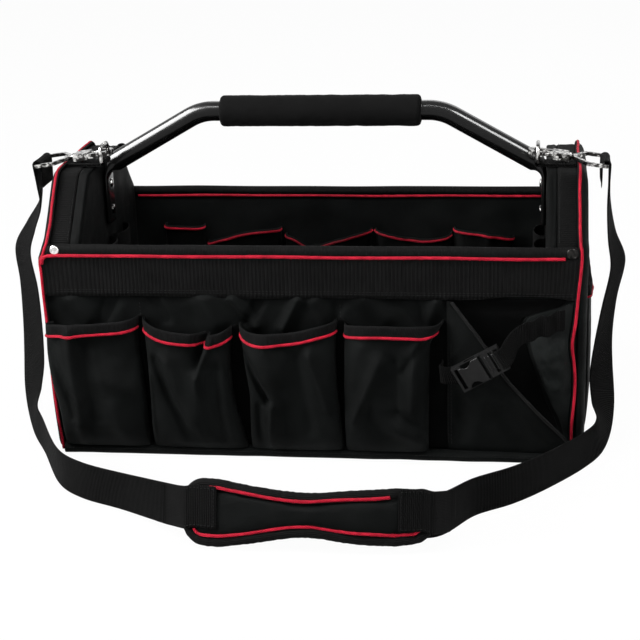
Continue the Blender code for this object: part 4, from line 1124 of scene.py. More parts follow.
FRONT_POCKETS = (
    Pocket(
        "front_pocket_1",
        ((0.0, -0.2462), (0.25, -0.2478), (0.42, -0.2505), (0.55, -0.2550), (0.8, -0.2605), (1.0, -0.2615)),
        ((0.0, -0.1602), (0.1, -0.1612), (0.43, -0.1625), (0.6, -0.1645), (0.85, -0.1675), (1.0, -0.1660)),
        ((0.0, 0.1352), (0.23, 0.1378), (0.44, 0.1388), (0.64, 0.1396), (0.85, 0.1408), (1.0, 0.1430)),
        0.0225,
        1,
        ((0.33, 0.95, 0.24, 0.05, 0.07, 2.6), (0.66, 0.80, 0.92, 0.72, 0.15, -3.4),
         (0.46, 0.80, 0.42, 0.28, 0.06, -2.2), (0.68, 0.34, 0.76, 0.12, 0.13, 3.0),
         (0.58, 0.58, 0.90, 0.50, 0.08, 1.8), (0.10, 0.80, 0.20, 0.30, 0.05, -2.0)),
        wrap=11 * MM,
    ),
    Pocket(
        "front_pocket_2",
        ((0.0, -0.1575), (0.4, -0.1570), (0.6, -0.1575), (0.85, -0.1600), (1.0, -0.1615)),
        ((0.0, -0.0640), (0.2, -0.0700), (0.45, -0.0768), (0.7, -0.0782), (1.0, -0.0758)),
        ((0.0, 0.1418), (0.11, 0.1375), (0.22, 0.1344), (0.33, 0.1326), (0.5, 0.1312), (0.70, 0.1298),
         (0.78, 0.1290), (0.88, 0.1300), (1.0, 0.1340)),
        0.0225,
        2,
        ((0.80, 0.95, 0.63, 0.66, 0.02, 1.6), (0.62, 0.66, 0.56, 0.02, 0.035, 3.4),
         (0.12, 0.72, 0.42, 0.16, 0.06, -3.2), (0.28, 0.74, 0.52, 0.30, 0.08, 2.6),
         (0.84, 0.70, 0.80, 0.15, 0.07, -3.0), (0.03, 0.60, 0.04, 0.10, 0.03, 1.6)),
        ((0.78, 1.02, 0.61, 0.66, 0.10, -8.0), (0.68, 0.58, 0.66, 0.05, 0.08, 1.6)),
    ),
    Pocket(
        "front_pocket_3",
        ((0.0, -0.0608), (0.2, -0.0605), (0.45, -0.0600), (0.62, -0.0625), (0.8, -0.0658), (1.0, -0.0680)),
        ((0.0, 0.0296), (0.25, 0.0280), (0.45, 0.0250), (0.7, 0.0232), (1.0, 0.0248)),
        ((0.0, 0.1376), (0.08, 0.1332), (0.23, 0.1320), (0.44, 0.1328), (0.54, 0.1336), (0.65, 0.1352),
         (0.80, 0.1382), (1.0, 0.1415)),
        0.0230,
        3,
        ((0.24, 0.86, 0.34, 0.55, 0.15, 3.4), (0.02, 0.80, 0.22, 0.46, 0.04, -4.5),
         (0.27, 0.42, 0.24, 0.02, 0.035, 3.0), (0.12, 0.40, 0.14, 0.04, 0.05, -2.6),
         (0.46, 0.55, 0.40, 0.10, 0.07, -2.0), (0.74, 0.80, 0.90, 0.42, 0.06, 2.6),
         (0.60, 0.78, 0.66, 0.20, 0.08, -2.4)),
    ),
    Pocket(
        "front_pocket_4",
        ((0.0, 0.0312), (0.4, 0.0312), (0.7, 0.0316), (1.0, 0.0325)),
        ((0.0, 0.1105), (0.3, 0.1110), (0.6, 0.1118), (0.82, 0.1130), (0.92, 0.1200), (1.0, 0.1252)),
        ((0.0, 0.1378), (0.17, 0.1402), (0.38, 0.1410), (0.58, 0.1408), (0.78, 0.1402), (0.93, 0.1400),
         (1.0, 0.1418)),
        0.0225,
        4,
        ((0.42, 0.72, 0.12, 0.30, 0.07, 3.0), (0.60, 0.72, 0.62, 0.36, 0.06, -2.4),
         (0.84, 0.86, 0.82, 0.40, 0.07, 2.8), (0.98, 0.92, 0.70, 0.66, 0.04, -1.6),
         (0.66, 0.34, 0.98, 0.20, 0.04, -1.6), (0.60, 0.24, 0.95, 0.12, 0.07, 2.2),
         (0.30, 0.30, 0.50, 0.10, 0.08, -1.6)),
    ),
)
# Each inner pocket: its left edge at the foot and at the mouth, its right edge there, its mouth, its depth in
# millimetres and its folds.
INNER_POCKETS = (
    (-0.1865, -0.1870, -0.1450, -0.1440, ((0, 0.1722), (0.4, 0.1725), (1, 0.1712)), 18.0, ()),
    (-0.1403, -0.1405, -0.0630, -0.0605,
     ((0, 0.1530), (0.26, 0.1605), (0.54, 0.1665), (0.83, 0.1690), (1, 0.1688)), 18.5,
     ((0.3, 0.95, 0.4, 0.4, 0.08, 2.0),)),
    (-0.0560, -0.0560, 0.0343, 0.0370,
     ((0, 0.1620), (0.12, 0.1595), (0.23, 0.1540), (0.36, 0.1518), (0.67, 0.1605), (1, 0.1680)), 19.0,
     ((0.34, 1.0, 0.45, 0.5, 0.05, -3.0), (0.7, 0.95, 0.6, 0.4, 0.07, 2.0))),
    (0.0400, 0.0410, 0.1172, 0.1215,
     ((0, 0.1680), (0.36, 0.1620), (0.64, 0.1595), (0.91, 0.1612), (1, 0.1635)), 19.0,
     ((0.5, 1.0, 0.55, 0.5, 0.06, -2.2),)),
    (0.1228, 0.1245, 0.1866, 0.1870, ((0, 0.1695), (0.3, 0.1680), (0.62, 0.1655), (1, 0.1600)), 18.0,
     ((0.6, 1.0, 0.5, 0.5, 0.08, 2.0),)),
)
SIDE_POCKET = Pocket(
    "right_side_pocket",
    ((0, -0.059), (1, -0.059)),
    ((0, 0.059), (1, 0.059)),
    ((0, 0.1585), (0.5, 0.1567), (1, 0.1582)),
    6.2 * MM,
    41,
    ((0.3, 0.9, 0.35, 0.3, 0.08, 0.8), (0.7, 0.9, 0.62, 0.3, 0.08, -0.8)),
    foot=9.5 * MM,
)
# Where the last gap between the front pockets ends, and the seams that tack the pockets to the front.
GAP_END = ((0.0, 0.1300), (1.0, 0.1300))
TACKS = (-0.1640, -0.0722, 0.0286)


def make_pockets():
    def on_front(x, out, z):
        return x, -HALF_DEPTH - out, z

    def on_back_wall(x, out, z):
        return x, PANEL_IN - out, z

    def on_right_end(y, out, z):
        return OUTER_START + OUTER_FULL + out, y, z

    for pocket in FRONT_POCKETS:
        make_pocket(pocket, pocket.surface(), on_front, FABRIC)
    for k, (left, left_top, right, right_top, mouth, depth, folds) in enumerate(INNER_POCKETS, 1):
        edges = ((0, left), (1, left_top)), ((0, right), (1, right_top))
        name = f"inner_pocket_{k}"
        pocket = Pocket(name, *edges, mouth, depth * MM, 30 + k, folds, foot=13 * MM, drop=2 * MM)
        make_pocket(pocket, pocket.surface(70, 44, (4.6, 3.2)), on_back_wall, LINING, 1.35 * MM)
    make_pocket(SIDE_POCKET, SIDE_POCKET.surface(80, 50, (4.6, 4.2), 0.4), on_right_end, FABRIC, 1.2 * MM)


def make_pocket_gaps():
    """Near-black sheets of painted shade between the front pockets, and the stitches that tack their mouths.
    """
    share, rise = panel_grid((0, 1), (0.0, 1.0), 12, 50)
    stops = [*(pocket.left for pocket in FRONT_POCKETS[1:]), GAP_END]
    for k, (pocket, stop) in enumerate(zip(FRONT_POCKETS, stops), 1):
        near, far = knots(pocket.right, rise) - 5 * MM, knots(stop, rise) + 5 * MM
        x = near + (far - near) * share
        z = 0.012 + (pocket.mouth[-1][1] - 0.010) * rise * (1 - 0.05 * np.abs(2 * share - 1))
        # Each gap is a near-black sheet of painted shade.
        over_front(f"pocket_gap_{k}", x, z, 0.9 * MM, SHADE_CLOTH, 0.4 * MM)
    for k, x in enumerate(TACKS, 1):
        line = points_of(x, -HALF_DEPTH - 0.6 * MM, np.linspace(0.1440, 0.1560, 8))
        stitches(f"pocket_tack_{k}", line, (0, -1, 0), 2.6 * MM, 1.9 * MM)


# The holster's left seam, foot, top and depth, its slanting mouth as (height, x), and its folds.
HOLSTER_LEFT = 0.1284
HOLSTER_FOOT = 7.5 * MM
HOLSTER_TOP = 0.1605
HOLSTER_DEPTH = 16.5 * MM
HOLSTER_EDGE = ((0.0075, 0.2478), (0.0222, 0.2440), (0.036, 0.2319), (0.0649, 0.2064), (0.0925, 0.1830),
                (0.1249, 0.1616), (0.1617, 0.1322))
HOLSTER_FOLDS = ((0.136, 0.100, 0.143, 0.025, 0.006, -3.0), (0.165, 0.060, 0.150, 0.020, 0.010, 2.4),
                 (0.196, 0.062, 0.222, 0.022, 0.007, 2.6), (0.182, 0.052, 0.200, 0.016, 0.008, -2.2))


def make_holster():
    """The triangular pocket under the buckle, its bound slanting mouth and its double seam at the left."""
    u, share = panel_grid((0, 1), (0, 1), 90, 110)
    z = HOLSTER_FOOT + share * (HOLSTER_TOP - HOLSTER_FOOT)
    x = HOLSTER_LEFT + (knots(HOLSTER_EDGE, z) - HOLSTER_LEFT) * u
    rise = np.sin(math.pi * np.clip(share, 0.015, 0.985)) ** 0.6
    out = HOLSTER_DEPTH * rise * np.sin(u * math.pi / 2) ** 0.55
    out = out + rise * MM * (2.0 * rumple(x, z, 27, 0.045) + ridges(x, z, HOLSTER_FOLDS))
    y = -HALF_DEPTH - 0.6 * MM - np.maximum(out, 0.0)
    sheet("holster_cloth", x, y, z, FABRIC, 1.4 * MM, -1.0, replaces=["holster_pocket"])
    edge = points_of(x[:, -1], y[:, -1] - 0.5 * MM, z[:, -1])
    edge = smooth_curve([*edge[:-6:8], edge[-1]], 140)
    tape = tube_mesh("holster_binding", edge, 1.1 * MM, EDGE_TAPE, (0, 1, 0), 12, 1.5, wobble=0.08)
    settle(tape)
    for shift in (1.5 * MM, 4.2 * MM):
        line = points_of(HOLSTER_LEFT + shift, -HALF_DEPTH - 3.0 * MM - shift, np.linspace(0.020, 0.120, 30))
        stitches(f"holster_seam_{round(shift * 1e4)}", line, (0, -1, 0), 3.6 * MM)


# Handle

GRIP_Z = 0.317
TUBE_FOOT_X = 0.2170
TUBE_HALF = ((-TUBE_FOOT_X, 0.205), (-TUBE_FOOT_X, 0.2615), (-0.1185, GRIP_Z))
TUBE_BENDS = (0.018, 0.050, 0.050, 0.018)
TUBE_RADIUS = 9.75 * MM
FOOT_THIN = 2.6 * MM
FOOT_BROAD = 12.5 * MM
GRIP_HALF = 0.099
GRIP_RADIUS = 15.2 * MM
GRIP_ROUNDING = 4.2 * MM


def make_tube():
    """The bent tube, flattened at its feet."""
    path = bent_path(mirrored(TUBE_HALF), TUBE_BENDS, 260)
    tangent = unit_rows(np.gradient(path, axis=0))
    angles = round_angles(40)
    c, s = np.cos(angles), np.sin(angles)
    rows = []
    for (x, z), (tx, tz) in zip(path, tangent):
        half_thick = min(TUBE_RADIUS, FOOT_THIN + TUBE_FOOT_X - abs(x))
        flat = (TUBE_RADIUS - half_thick) / (TUBE_RADIUS - FOOT_THIN)
        half_wide = TUBE_RADIUS + (FOOT_BROAD - TUBE_RADIUS) * flat
        wide = half_wide * np.sign(c) * np.abs(c) ** (1 - 0.45 * flat)
        thick = half_thick * np.sign(s) * np.abs(s) ** (1 - 0.3 * flat)
        rows.append(points_of(x - tz * thick, wide, z + tx * thick))
    settle(grid_mesh("tube", rows, PAINT, wrap=True, caps=True), ["handle_tube"])


def make_grip():
    """The foam grip, a little uneven and rounded at its ends."""
    angles = round_angles(48)
    rows = []
    for along in np.linspace(-1, 1, 170):
        end = min(1.0, (1 - abs(along)) * GRIP_HALF / GRIP_ROUNDING)
        body = GRIP_RADIUS - 5.2 * MM * (1 - math.sqrt(max(0.0, 1 - (1 - end) ** 2)))
        dents = np.array([cloudy(along * 9, math.cos(a) * 1.3, math.sin(a) * 1.3) for a in angles])
        r = body + 0.35 * MM * dents * end
        rows.append(points_of(along * GRIP_HALF, r * np.cos(angles), GRIP_Z + r * np.sin(angles)))
    grip = grid_mesh("foam_grip", rows, FOAM, wrap=True, caps=True)
    settle(grip, ["handle_grip"])


# Hardware of the strap

RING_WIRE = 1.9 * MM
RING_HALF = 13.5 * MM
RING_HEIGHT = 16.5 * MM
RING_BENDS = (2.5 * MM, 7.0 * MM, 7.0 * MM, 2.5 * MM)
# How far the edges of each CAD part are rounded.
HOOK_EDGES = {"snap_hook": 1.1 * MM, "hook_bolt": 0.3 * MM, "swivel_eye": 0.9 * MM}


def make_ring(word, side):
    corners = mirrored([(0.0, 0.0), (-RING_HALF, 0.0), (-RING_HALF, RING_HEIGHT)])
    a, b = resample(rounded_corners(corners, RING_BENDS), 90).T
    path = points_of(side * RING_X, RING_Y + a, BAR_Z + b)
    ring = tube_mesh(f"{word}_ring_wire", path, RING_WIRE, NICKEL, (1, 0, 0), 16, closed=True)
    settle(ring, [f"{word}_ring"], f"{word}_ring")


def make_ring_tab(word, side):
    """The webbing looped round a ring's bar, the second layer sewn on it, and the seams."""
    loop = RING_WIRE + 1.1 * MM
    under = BAR_Z - loop
    turns = np.linspace(0.55, 1.5 * math.pi, 26)
    bend = points_of(side * (RING_X + loop * np.cos(turns)), RING_Y, BAR_Z + loop * np.sin(turns))
    runs = np.linspace(RING_X + 2 * MM, HALF_LENGTH - 0.6 * MM, 16)
    path = np.vstack([bend, points_of(side * runs, RING_Y, under)])
    tab = webbing(f"{word}_tab_webbing", path, (0, 1, 0), 22.5 * MM, 1.4 * MM)
    settle(tab, [f"{word}_ring_tab"])
    runs = np.linspace(RING_X + 3 * MM, HALF_LENGTH - 1.2 * MM, 22)
    layer = points_of(side * runs, RING_Y, under + (1.6 + 0.2 * np.sin(runs * 900)) * MM)
    settle(webbing(f"{word}_tab_top", layer, (0, 1, 0), 21.5 * MM, 1.3 * MM))
    runs = np.linspace(RING_X + 9 * MM, HALF_LENGTH - 3 * MM, 10)
    for letter, edge in (("a", -9.2 * MM), ("b", 9.2 * MM)):
        row = points_of(side * runs, RING_Y + edge, under + 2.4 * MM)
        stitches(f"{word}_tab_stitches_{letter}", row, (0, 0, 1), 2.6 * MM, 1.9 * MM)


def make_hardware():
    """Plated metal on the hooks, bolts and eyes, the ring wires, and the tabs that hold them."""
    for word, side in SIDES:
        for part, edge in HOOK_EDGES.items():
            repaint(f"{word}_{part}", NICKEL, edge)
        make_ring(word, side)
        make_ring_tab(word, side)


# Shoulder strap and pad. The shares are the CAD's own: outwards and forwards in flares, heights in drops.

STRAP_WIDTH = 0.038
STRAP_FLARE = 0.048
FLOOR_GAP = 1.0 * MM
FLOOR_HEIGHT = STRAP_WIDTH / 2 + FLOOR_GAP
EYE_BAR = Vector((0.0640, 0, 0))
BAR_BEND = math.hypot(3.6, 3.4) / 2 * MM + 1.6 * MM
STRAP_SHARES = {
    -1: (
        ((0.00, 0.02, 0.92, 0.15), (0.02, 0.04, 0.835, 0.30), (0.25, 0.10, 0.744, 0.55),
         (0.43, 0.21, 0.652, 0.85), (0.33, 0.33, 0.514, 1.00), (0.28, 0.48, 0.357, 1.10),
         (0.27, 0.62, 0.230, 1.15)),
        ((-1.166, -0.68, 0.122, 1.05, 0.36), (-1.138, -0.88, 0.035, 0.80, 0.72)),
        ((-1.075, -1.10), (-0.936, -1.71), (-0.815, -1.97), (-0.640, -2.16)),
    ),
    1: (
        ((0.00, 0.02, 0.92, 0.05), (0.00, 0.04, 0.834, 0.10), (0.07, 0.12, 0.722, 0.22),
         (0.20, 0.23, 0.615, 0.45), (0.05, 0.40, 0.482, 0.45), (-0.06, 0.62, 0.350, 0.55),
         (-0.10, 0.87, 0.240, 0.75)),
        ((1.108, -0.78, 0.118, 0.90, 0.40), (1.100, -0.95, 0.035, 0.80, 0.75)),
        ((1.038, -1.13), (0.893, -1.57), (0.772, -1.86), (0.640, -2.09)),
    ),
}
PAD_X = 0.08 * HALF_LENGTH
PAD_Y = -HALF_DEPTH - 0.1955
PAD_HALF = 0.106
PAD_LEAN = math.radians(17)
PAD_END_HALF = 0.028
PAD_WAIST_HALF = 0.020
PAD_THICK = 6.5 * MM
PAD_SWELL = 2.4 * MM
PAD_VOXEL = 4 * MM
PAD_PRESSURE = 4.0
PAD_FRAMES = 20
LEAN = np.array((0, math.sin(PAD_LEAN), math.cos(PAD_LEAN)))
BEHIND = np.array((0, math.cos(PAD_LEAN), -math.sin(PAD_LEAN)))
STRAP_BEHIND_PAD = (-1.04, -0.7, -0.35, 0.0, 0.35, 0.7, 1.04)
STRAP_OFF_PAD = PAD_THICK + 4.2 * MM
PATCH_EDGE = 16.0 * MM
RAY_REACH = 0.03


def hook_frame(side):
    turn = Matrix.Rotation(0 if side > 0 else math.pi, 4, "Z")
    return Matrix.Translation((side * RING_X, RING_Y, HOOK_Z)) @ turn @ Matrix.Rotation(HOOK_PITCH, 4, "Y")


def strap_side(side):
    """The strap's end over the eye's bar, and its route from there to the pad as (place, width direction)."""
    bar = hook_frame(side) @ EYE_BAR
    flat = Vector((0, 1, 0))
    end = [(bar + Vector((-side * BAR_BEND, 0, -0.024)), flat)]
    for angle in (math.pi * i / 12 for i in range(13)):
        end.append((bar + BAR_BEND * Vector((-side * math.cos(angle), 0, math.sin(angle))), flat))
    drop = bar.z - FLOOR_HEIGHT
    hang, corner, floor = STRAP_SHARES[side]
    route = []
    for out, forward, high, turn in hang:
        x = bar.x + side * (BAR_BEND + out * STRAP_FLARE)
        spot = Vector((x, bar.y - forward * STRAP_FLARE, FLOOR_HEIGHT + high * drop))
        route.append((spot, Vector((side * turn, 1, 0))))
    for along, back, high, turn, down in corner:
        spot = Vector((along * HALF_LENGTH, back * HALF_DEPTH, FLOOR_HEIGHT + high * drop))
        route.append((spot, Vector((side * turn * (1 - down), 1 - down, -down))))
    for along, back in floor:
        route.append((Vector((along * HALF_LENGTH, back * HALF_DEPTH, FLOOR_HEIGHT)), -UP))
    return end, route


def pad_middle(share):
    """The pad's middle at a share of its half length."""
    lift = PAD_END_HALF * math.cos(PAD_LEAN) + PAD_THICK * math.sin(PAD_LEAN) + FLOOR_GAP
    return np.array((PAD_X + share * PAD_HALF, PAD_Y + 0.08 * PAD_HALF * share * share, lift))


def pad_reaches(share):
    """How far the pad's upper and lower edges are from its middle, with its rounded ends."""
    widen = min(1.0, abs(share) / 0.72) ** 1.5
    half = PAD_WAIST_HALF + (PAD_END_HALF - PAD_WAIST_HALF) * widen
    end = min(1.0, (1 - abs(share)) * PAD_HALF / (17 * MM))
    half *= 0.30 + 0.70 * math.sqrt(max(0.0, 1 - (1 - end) ** 2))
    slack = float(step(share, 0.25, 0.95))
    waist = 4.5 * MM * math.exp(-((share / 0.42) ** 2))
    return half - 5.0 * MM * slack, half - 7.0 * MM * slack - waist


def pad_edge(share, sign, inset, front=0.0):
    """A spot inside the pad's upper (1) or lower (-1) edge, and in front of it."""
    upper, lower = pad_reaches(share)
    reach = upper - inset if sign > 0 else inset - lower
    return pad_middle(share) + LEAN * reach - BEHIND * front


def make_strap():
    """The shoulder strap from hook to hook, standing on its edge before the bag."""
    (left_end, left), (right_end, right) = strap_side(-1), strap_side(1)
    middle = [(Vector(pad_middle(s) + BEHIND * STRAP_OFF_PAD), Vector(-LEAN)) for s in STRAP_BEHIND_PAD]
    route = [left_end[-1], *left, *middle, *reversed(right), right_end[-1]]
    fine = smooth_curve([(*spot, *direction.normalized()) for spot, direction in route], 640, 30)
    ends = [np.array([(*spot, *direction) for spot, direction in end[:-1]]) for end in (left_end, right_end)]
    run = np.vstack([ends[0], fine, ends[1][::-1]])
    width = STRAP_WIDTH - 0.4 * MM
    strap = webbing("strap_webbing_run", run[:, :3], run[:, 3:], width, 1.7 * MM, 11, 0.5 * MM)
    settle(strap, ["shoulder_strap"])
    return run


def evaluated(obj):
    return obj.evaluated_get(bpy.context.evaluated_depsgraph_get())


def seated(targets, spots, lift):
    """Each spot moved back to the first surface of the targets that it meets, and lifted off it."""
    back = Vector(BEHIND)
    graph = bpy.context.evaluated_depsgraph_get()
    trees = [BVHTree.FromObject(target, graph) for target in targets]
    made = []
    for spot in spots:
        start = Vector(spot) - back * RAY_REACH
        hits = [tree.ray_cast(start, back, 2 * RAY_REACH)[3] for tree in trees]
        nearest = min((far for far in hits if far is not None), default=RAY_REACH)
        made.append(np.array(start + back * (nearest - lift)))
    return made


def swell(pad):
    """Swells the pad by a short cloth simulation, and keeps its result."""
    scene = bpy.context.scene
    remesh = pad.modifiers.new("even", "REMESH")
    remesh.mode = "VOXEL"
    remesh.voxel_size = PAD_VOXEL
    even = bpy.data.meshes.new_from_object(evaluated(pad))
    pad.modifiers.clear()
    pad.data = even
    start = np.array([vertex.co[:] for vertex in even.vertices])
    cloth = pad.modifiers.new("swell", "CLOTH")
    cloth.settings.use_pressure = True
    cloth.settings.uniform_pressure_force = PAD_PRESSURE
    cloth.settings.effector_weights.gravity = 0.0
    cloth.point_cache.frame_start = 1
    cloth.point_cache.frame_end = PAD_FRAMES
    for at in range(1, PAD_FRAMES + 1):
        scene.frame_set(at)
    swollen = evaluated(pad)
    moved = np.array([vertex.co[:] for vertex in swollen.to_mesh().vertices]) - start
    swollen.to_mesh_clear()
    pad.modifiers.clear()
    scene.frame_set(1)
    far = np.linalg.norm(moved, axis=1, keepdims=True)
    kept = start + moved * np.minimum(1.0, PAD_SWELL / np.maximum(far, 1e-9))
    even.vertices.foreach_set("co", kept.ravel())
    even.polygons.foreach_set("use_smooth", [True] * len(even.polygons))
    soften(pad)


def make_pad_body():
    """The pad's stuffed body. Where it is swollen by simulation, it starts thinner."""
    start_share = 0.72
    angles = round_angles(56)
    rows = []
    for share in np.linspace(-0.985, 0.985, 110):
        upper, lower = pad_reaches(share)
        centre = pad_middle(share)
        thick = PAD_THICK * start_share * (0.45 + 0.55 * min(1.0, upper / PAD_WAIST_HALF))
        ring = []
        for angle in angles:
            c, s = math.cos(angle), math.sin(angle)
            reach = (upper if c > 0 else lower) - 2.0 * MM
            up = reach * math.copysign(abs(c) ** 0.62, c)
            edge = np.clip((abs(up) - (reach - 9 * MM)) / (9 * MM), 0, 1)
            crown = thick * math.copysign(abs(s) ** 0.75, s) * (1 - 0.45 * edge)
            soft = 0.8 * MM * cloudy(share * 6, up * 60, math.copysign(2.0, s))
            ring.append(centre + LEAN * up + BEHIND * (crown + soft * np.sign(s) * (1 - edge)))
        rows.append(ring)
    pad = grid_mesh("shoulder_pad_cloth", rows, PAD_CLOTH, wrap=True, caps=True)
    swell(pad)
    return pad


def make_pad_binding():
    shares = np.sin(np.linspace(-math.pi / 2, math.pi / 2, 130))
    loop = [pad_edge(s, 1, 3.6 * MM, 0.5 * MM) for s in shares]
    loop += [pad_edge(s, -1, 3.6 * MM, 0.5 * MM) for s in shares[::-1]]
    loop = resample([*loop, loop[0]], 300)
    tape = tube_mesh("pad_binding", loop, 4.4 * MM, BINDING, BEHIND, 14, 1.15, closed=True, wobble=0.1)
    return settle(tape)


def make_pad_cords(targets):
    """The red piping along the pad's upper and lower edge."""
    ends = np.linspace(-0.975, 0.975, 90)
    wave = 0.8 * MM * ripple(ends * 3, 4.0, 1.0)
    top = [pad_edge(s, 1, 5.5 * MM + w) for s, w in zip(ends[8:-14], wave[8:])]
    low = [pad_edge(s, -1, 8.5 * MM + w) for s, w in zip(ends, wave)]
    low = [low[2] + LEAN * 2 * MM, *low[3:-5], low[-4] + LEAN * 1.5 * MM]
    for name, line in (("top", top), ("low", low)):
        line = smooth_curve(seated(targets, line, 0.8 * MM), 200, 3)
        piping(f"pad_cord_{name}", line, 1.45 * MM, 0.07, sides=10)


def make_pad_patch(targets, run, word, side):
    """The webbing that comes over an end of the pad and is sewn down on it."""
    shift = (5.5 if side < 0 else 7.0) * MM
    over = [pad_middle(s * side) + LEAN * shift for s in (0.735, 0.79, 0.84, 0.89, 0.93)]
    line = [(*spot, *-LEAN) for spot in seated(targets, over, 1.3 * MM)]
    for share, lift, front in ((0.975, 0.8, 6.6), (1.02, 0.6, 4.8)):
        line.append((*(pad_middle(share * side) + LEAN * shift * lift - BEHIND * front * MM), *-LEAN))
    start = pad_middle(1.04 * side) + BEHIND * STRAP_OFF_PAD
    nearest = int(np.argmin(np.linalg.norm(run[:, :3] - start, axis=1)))
    for row in (run[nearest + side * k] for k in (7, 10, 14)):
        line.append((*(row[:3] - BEHIND * 2.0 * MM), *row[3:]))
    line = smooth_curve(line, 70)
    across, line = line[:, 3:], line[:, :3]
    patch = webbing(f"pad_patch_{word}", line, across, STRAP_WIDTH - 1.0 * MM, 1.7 * MM, 11)
    settle(patch)
    face = line - BEHIND * 1.1 * MM
    column = [face[1] + LEAN * edge for edge in np.linspace(-PATCH_EDGE, PATCH_EDGE, 12)]
    rows = {"a": face[1:24] - LEAN * PATCH_EDGE, "b": face[1:24] + LEAN * PATCH_EDGE, "end": column}
    for place, row in rows.items():
        stitches(f"pad_patch_{word}_{place}", row, -BEHIND, 3.0 * MM, 2.1 * MM)


def make_pad(run):
    """The padded shoulder piece: its body, bound edge, red piping and the webbing over its ends."""
    pad = make_pad_body()
    targets = [pad, make_pad_binding()]
    make_pad_cords(targets)
    for word, side in SIDES:
        make_pad_patch(targets, run, word, side)
    settle(pad, replaces=["shoulder_pad"])


# Latch buckle and its webbing. Its own axes run along the buckle, across it and out of the bag's front.

LATCH_TILT = math.radians(30)
LATCH_OUT = Vector((0, -1, 0))
LATCH_ALONG = Vector((math.cos(LATCH_TILT), 0, math.sin(LATCH_TILT)))
LATCH_ACROSS = LATCH_OUT.cross(LATCH_ALONG)
LATCH_TURN = Matrix((LATCH_ALONG, LATCH_ACROSS, LATCH_OUT)).transposed().to_4x4()
LATCH = Matrix.Translation((0.1654, -HALF_DEPTH - 0.0275, 0.1075)) @ LATCH_TURN
# How far the edges of each CAD part are rounded, in millimetres.
LATCH_EDGES = {"latch_socket": 1.1, "latch_plug": 0.8, "plug_arm_upper": 0.4, "plug_arm_lower": 0.4}
SOCKET_BACK = 24.0 * MM
SOCKET_FACE = 4.0 * MM
PLUG_FACE = 3.2 * MM
PLUG_FRONT = 18.8 * MM
WEB_SLOT = 3.4 * MM
PLUG_BAR = 2.2 * MM
LATCH_WEB = 1.5 * MM
WEB_GAP = 0.3 * MM
# The way of the plug's webbing over the front: x, millimetres before the front, and height.
LATCH_WAY = ((0.1945, 23.0, 0.1335), (0.2140, 11.0, 0.1392), (0.2375, 2.2, 0.1440))
# The cover on the socket's face, pinched at its sides for the fingers, the notch beside it and the joint
# between the halves, where dark plates of painted shade lie: places along the buckle and across it in
# millimetres.
COVER_SIDE = ((-2.2, 12.1), (-6.0, 12.0), (-9.6, 11.4), (-12.0, 9.0), (-15.5, 7.7), (-18.6, 8.6),
              (-20.2, 9.8), (-23.4, 9.8))
NOTCH = ((-9.4, 12.3), (-20.6, 12.3), (-20.2, 8.2), (-17.0, 6.6), (-13.0, 7.0), (-10.4, 10.0))
JOINT = ((-0.2, -12.2), (-0.2, 12.2), (-1.9, 12.2), (-1.9, -12.2))


def turning_width(mixes, first, second):
    """The width direction of webbing that turns from one direction to another."""
    return (1 - mixes[:, None]) * np.array(first) + mixes[:, None] * np.array(second)


def make_latch_webbing():
    """The webbing from the right corner of the front to the plug's bar, which follows the plug out."""
    last = PLUG_FRONT - PLUG_BAR - WEB_SLOT / 2
    clear = PLUG_FACE + LATCH_WEB + WEB_GAP
    over = LATCH @ Vector((PLUG_FRONT + PLUG_BAR, 0, clear))
    way = [Vector((x, -HALF_DEPTH - before * MM, z)) for x, before, z in LATCH_WAY]
    line = smooth_curve((LATCH @ Vector((last, 0, 0)), LATCH @ Vector((last, 0, clear)), over, *way), 90)
    shares = np.linspace(0, 1, 90)
    free = step(shares, 0.45, 0.75) * (1 - step(shares, 0.92, 1.0))
    line[:, 1] -= MM * free * (1.3 * np.sin(shares * 34) + 1.5)
    line[:, 2] += 1.2 * MM * free * np.cos(shares * 27)
    across = turning_width(step(shares, 0.20, 0.50), LATCH_ACROSS, (0.0, 0.10, 1.0))
    strap = webbing("latch_webbing", line, across, 20.0 * MM, LATCH_WEB)
    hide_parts("latch_strap")
    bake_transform(strap)


def latch_plate(name, outline, lift, height, material, edge):
    """A plate on the socket's face, at a lift off it."""
    outline = [(a * MM, b * MM) for a, b in outline]
    plate = plate_mesh(name, outline, LATCH, SOCKET_FACE + lift, height, material, edge)
    settle(plate)


def make_latch_face():
    """The cover on the socket, dark plates of painted shade at its notches and at the joint, and the ribs on
    the plug.
    """
    waist = smooth_curve(COVER_SIDE, 30)
    outline = [*waist, *((x, -y) for x, y in waist[::-1])]
    latch_plate("latch_socket_cover", outline, -0.2 * MM, 1.3 * MM, PLASTIC, 0.4 * MM)
    lower = [(x, -y) for x, y in NOTCH[::-1]]
    # Thin near-black plates of painted shade where the notches and the joint are.
    for part, outline in (("notch_shade_upper", NOTCH), ("notch_shade_lower", lower), ("joint_shade", JOINT)):
        latch_plate(f"latch_{part}", outline, -0.1 * MM, 0.3 * MM, SHADE_CLOTH, 0.05 * MM)
    for k in (1, 2, 3):
        line = [LATCH @ Vector((3.6 * MM * k, t * MM, 3.3 * MM)) for t in np.linspace(-8.2, 8.2, 12)]
        rib = tube_mesh(f"latch_plug_rib_{k}", line, 0.8 * MM, PLASTIC, LATCH_OUT, 10)
        settle(rib, body="latch_plug")


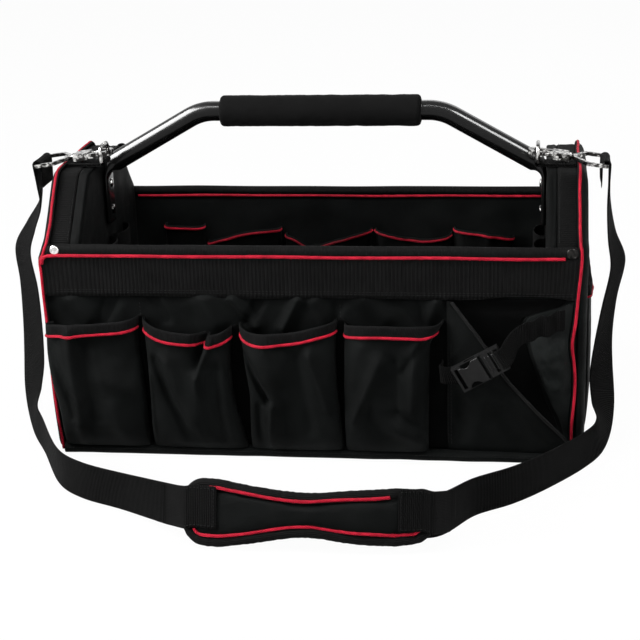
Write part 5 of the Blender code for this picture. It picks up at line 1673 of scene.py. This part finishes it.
def make_latch_tab():
    """The webbing from the seam beside the holster to the socket's bar."""
    middle = LATCH @ Vector((-SOCKET_BACK - WEB_SLOT / 2, 0, 0))
    under = SOCKET_FACE + LATCH_WEB + WEB_GAP
    seam = Vector((HOLSTER_SEAM, -HALF_DEPTH - 0.8 * MM, middle.z))
    stand = Vector((HOLSTER_SEAM, middle.y + under + LATCH_WEB, middle.z))
    entry = LATCH @ Vector((-SOCKET_BACK - 0.6 * WEB_SLOT, 0, -under))
    line = smooth_curve((seam, (seam + stand) / 2, stand, entry, middle), 40)
    across = turning_width(np.clip(np.linspace(-0.6, 1.4, 40), 0, 1), UP, LATCH_ACROSS)
    settle(webbing("latch_tab_webbing", line, across, 18.0 * MM, LATCH_WEB), ["latch_tab"])


def make_latch():
    for node, edge in LATCH_EDGES.items():
        repaint(node, PLASTIC, edge * MM)
    make_latch_webbing()
    make_latch_face()
    make_latch_tab()


# Loops

HANG_FOOT = Vector((-0.2260, 0.0825, 0.2477))
HANG_HALF = 5.2 * MM
HANG_RISE = 19.0 * MM


def make_tool_loops():
    """The pair of webbing loops inside each end wall."""
    turns = np.linspace(0, math.pi, 26)
    for word, side in SIDES:
        face = side * (END_IN - 1.1 * MM)
        out = face - side * 11 * MM * np.maximum(np.sin(turns), 0) ** 0.8
        path = np.vstack([points_of(out, k * 0.025 - np.cos(turns) * 0.021, 0.178) for k in (-1, 1)])
        loops = webbing(f"{word}_loop_webbing", path, UP, 0.025, 1.5 * MM)
        settle(loops, [f"{word}_inner_loops"])


def make_hang_loop():
    """The small loop that stands on the left end's slope."""
    slope = -Vector((0, END_TOP_HALF - END_HALF, END_TOP - RIM)).normalized()
    out = Vector((0, -slope.z, slope.y))
    side = [(-HANG_HALF * 0.3, 0.0), (-HANG_HALF, HANG_RISE * 0.55), (-HANG_HALF * 0.75, HANG_RISE * 0.9)]
    points = [*side, (0.0, HANG_RISE), *[(-a, b) for a, b in reversed(side)]]
    path = smooth_curve([HANG_FOOT + Vector((a, 0, 0)) + out * b for a, b in points], 50)
    loop = webbing("hang_loop_webbing", path, slope, 9.0 * MM, 1.5 * MM, 5)
    settle(loop, ["left_hang_loop"])


make_camera()
make_floor()
make_world()
make_lights()
make_front()
make_back()
make_base()
make_hems()
make_end_walls()
make_rims()
make_rivets()
make_pockets()
make_pocket_gaps()
make_holster()
make_tube()
make_grip()
make_hardware()
make_pad(make_strap())
make_latch()
make_tool_loops()
make_hang_loop()
